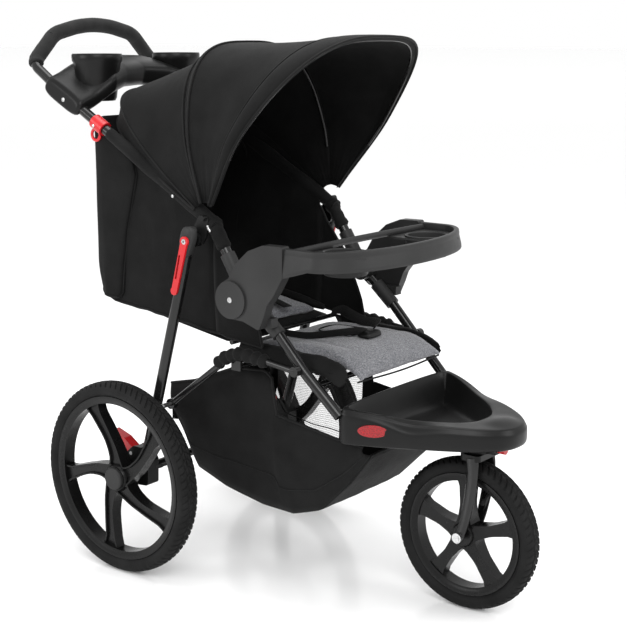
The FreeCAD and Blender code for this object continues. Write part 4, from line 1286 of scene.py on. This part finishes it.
def tray():
    """A flared D-shaped band with a lipped top, a rear rail, and a deck with a cup well at each side."""
    low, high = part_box("child_tray")
    back, front, half = high.y, low.y, high.x
    straight = mm(-226)
    right = [(half, back), (half, (back + straight) / 2)]
    sweep = [(half * math.cos(a) ** 0.98, straight + (front - straight) * math.sin(a) ** 0.98)
             for a in (math.radians(90 * k / 14) for k in range(15)) if math.cos(a) > 0]
    route = right + sweep[:-1] + [(0.0, front)]
    route = route + [(-x, y) for x, y in reversed(route[:-1])]
    line = smooth_line([(x, y, 0) for x, y in route], 3)
    ahead = np.gradient(line, axis=0)
    normal = np.stack([-ahead[:, 1], ahead[:, 0], 0 * ahead[:, 0]], axis=1)
    normal /= np.linalg.norm(normal, axis=1)[:, None]
    outwards = (normal[:, :2] * (line[:, :2] - np.array([0, mm(-200)]))).sum(axis=1)
    normal *= np.where(outwards > 0, 1, -1)[:, None]
    rings = []
    for p, n in zip(line, normal):
        bottom = np.interp(p[1], [mm(-226), mm(-200), back], mms(677, 669, 660))
        section = [(-1.0, bottom), (0, bottom + mm(2)), (-0.6, bottom + mm(8))]
        lip = ((-5.0, 703), (-5.4, 705.5), (-5.0, 708), (-6.2, 714.5), (-8.5, 716), (-14, 716),
               (-16.2, 714.5), (-17.5, 708), (-17.5, 700), (-10, 684))
        section += [(o, mm(z)) for o, z in lip]
        section.append((-6, bottom + mm(1)))
        rings.append([(p[0] + n[0] * mm(o), p[1] + n[1] * mm(o), z) for o, z in section])
    solids = [loft(rings)]
    rail = [(x, back - mm(6), mm(706) + mm(2) * math.cos(x / half * 1.5))
            for x in np.linspace(-half + mm(14), half - mm(14), 24)]
    solids.append(rod(rail, mm(7), sides=16, ratio=0.75, across=(0, 0, 1)))
    for side in SIDES.values():
        cx, cy = side * mm(140), mm(-240)
        angles = [math.tau * k / 64 for k in range(64)]
        edge = []
        for a in angles:
            dx, dy = math.cos(a), math.sin(a)
            reach = min((mm(82) if dx * side > 0 else mm(48)) / max(abs(dx), 1e-6),
                        (mm(66) if dy > 0 else mm(62)) / max(abs(dy), 1e-6))
            edge.append((cx + dx * reach, cy + dy * reach))
        # keep the deck inside the band
        for i, (x, y) in enumerate(edge):
            if y < straight:
                s = 1 - ((y - straight) / (front - straight)) ** 2
                limit = (half - mm(10)) * math.sqrt(max(s, 0.02))
                edge[i] = (math.copysign(min(abs(x), limit), x), max(y, front + mm(10)))
        circle = [(cx + mm(41) * math.cos(a), cy + mm(41) * math.sin(a)) for a in angles]
        deck = [[(x, y, mm(702)) for x, y in edge], [(x, y, mm(702)) for x, y in circle],
                [(x, y, mm(698)) for x, y in circle], [(x, y, mm(698)) for x, y in edge]]
        solids.append(loft(deck, looped=True))
        wall = [(0, 662), (40, 662), (43, 665), (44, 698), (46, 702), (46, 705), (43, 706), (40.5, 704)]
        wall += [(40.2, 698), (39.5, 668.5), (37, 666.3), (0, 666)]
        solids.append(revolve([(mm(r), mm(z)) for r, z in wall], (cx, cy, 0), axis="Z", steps=64))
    make("tray_band", merge(solids), "plastic_grey", "child_tray", crease=42,
         stands_for=["child_tray"])


def fork():
    """Two curved oval blades with flattened dropouts."""
    solids = []
    for side in SIDES.values():
        points = mirrored(side, [(31, -460, 316), (32, -463, 285), (32.5, -459, 240), (32.5, -449, 190),
                                 (32.5, -440, 160), (32.5, -436, 147)])
        line = smooth_line(points, 8)
        size = np.interp(np.linspace(0, 1, len(line)), [0, 0.4, 0.8, 0.92, 1], mms(14, 12, 9.5, 11, 7))
        solids.append(rod(line, size, sides=20, ratio=0.46, across=(0, 1, 0)))
    make("fork_legs", merge(solids), "tube_black", "front_fork", crease=60,
         stands_for=["fork_blades"])


def knuckles():
    """Tapered caps over the tops of the rear legs."""
    solids = []
    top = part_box("leg_knuckles")[1].z
    for side in SIDES.values():
        rings = []
        for z, front, back, inner, outer in ((664, 80, 99, 223, 239), (668, 76, 101, 220.5, 241.5),
                                             (690, 66, 97, 219.5, 243), (715, 57, 96, 219, 243.5),
                                             (732, 58, 88, 219.5, 243), (737, 62, 82, 222, 240.5)):
            ring = outline([(mm(inner), mm(front)), (mm(outer), mm(front)), (mm(outer), mm(back)),
                            (mm(inner), mm(back))], 3, 40)
            rings.append([(side * x, y, min(mm(z), top)) for x, y in ring])
        solids.append(loft(rings))
    make("leg_caps", merge(solids), "plastic_grey", "rear_frame", crease=60, levels=1,
         stands_for=["leg_knuckles"])


def small_parts():
    """Pins and screws that have no solid of their own."""
    for name, side in SIDES.items():
        low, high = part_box("fold_trigger_" + name)
        middle = (low + high) / 2
        p = Vector((side * (max(abs(low.x), abs(high.x)) - mm(0.8)), middle.y + mm(2), middle.z + mm(6)))
        pin = stud(p, side, (1.2, 2), (4, 3.6, 1.5))
        make("trigger_pin_" + name, pin, "wire_steel", "fold_trigger_" + name)
        screw = [(0.01, -1), (5.5, -1), (5.5, 0.6), (4.4, 1.3), (2, 1.3), (1.6, 0.2), (0.01, 0.2)]
        screw = [(mm(r), side * mm(d)) for r, d in screw]
        for kind, body, at in (("hub_screw_", "front_frame", (side * mm(245.1), HUB.y, HUB.z)),
                               ("latch_screw_", "side_latch_" + name, (side * mm(248.2), mm(74), mm(708)))):
            solid = revolve(screw, tuple(Vector(at)), steps=24)
            make(kind + name, solid, "wire_steel", body, crease=30)


# ---- stage --------------------------------------------------------------------------------------
FLOOR_HALF = 90.0                       # far enough out that its edge is never seen
LENS = 76.94                            # focal length in mm, on a 36 mm wide sensor
CAMERA_AT = (-2.142, -1.717, 1.107)
CAMERA_WAY = (0.7734, 0.600, -0.2046)   # the direction it looks in
LIGHTS_AIM = (0, 0, 0.55)
# place, width in metres and power in watts
PANELS = {"key": ((-2.6, -2.4, 3.0), 2.2, 90), "side": ((-3.2, 1.6, 1.6), 1.6, 45),
          "front": ((1.0, -3.6, 2.0), 1.8, 45), "top": ((0.2, 0.2, 3.6), 2.4, 70)}


def stage():
    floor_mesh = bpy.data.meshes.new("floor")
    """A glossy white floor in a white room, lit by four square panels."""
    wide = FLOOR_HALF
    floor_mesh.from_pydata([(-wide, -wide, 0), (wide, -wide, 0), (wide, wide, 0), (-wide, wide, 0)], [],
                           [(0, 1, 2, 3)])
    floor = bpy.data.objects.new("floor", floor_mesh)
    SCENE.collection.objects.link(floor)
    look = Look("floor_white", 0.16, Specular_IOR_Level=0.5)
    look.shader.inputs["Base Color"].default_value = (0.96, 0.96, 0.96, 1)
    floor_mesh.materials.append(look.mat)
    world = bpy.data.worlds.new("studio")
    world.use_nodes = True
    world.node_tree.nodes["Background"].inputs["Color"].default_value = (1, 1, 1, 1)
    world.node_tree.nodes["Background"].inputs["Strength"].default_value = 1.0
    SCENE.world = world
    for name, (at, size, power) in PANELS.items():
        data = bpy.data.lights.new(name, "AREA")
        data.shape = "SQUARE"
        data.size = size
        data.energy = power
        lamp = bpy.data.objects.new(name, data)
        SCENE.collection.objects.link(lamp)
        lamp.location = at
        lamp.rotation_euler = (Vector(LIGHTS_AIM) - Vector(at)).to_track_quat("-Z", "Y").to_euler()


def camera():
    """The one camera, to the front left, near the height of the canopy."""
    data = bpy.data.cameras.new("camera")
    data.sensor_width = 36
    data.lens = LENS
    obj = bpy.data.objects.new("camera", data)
    SCENE.collection.objects.link(obj)
    obj.location = CAMERA_AT
    looking = Vector(CAMERA_WAY)
    obj.rotation_euler = looking.to_track_quat("-Z", "Y").to_euler()
    SCENE.camera = obj
    SCENE.view_settings.view_transform = "Standard"


for build in (paint_frame, wheels, canopy, pod, hood, tube_sleeves, seat, backrest, harness, basket, belts,
              handle, console, footrest, tray, fork, knuckles, small_parts, stage, camera):
    build()
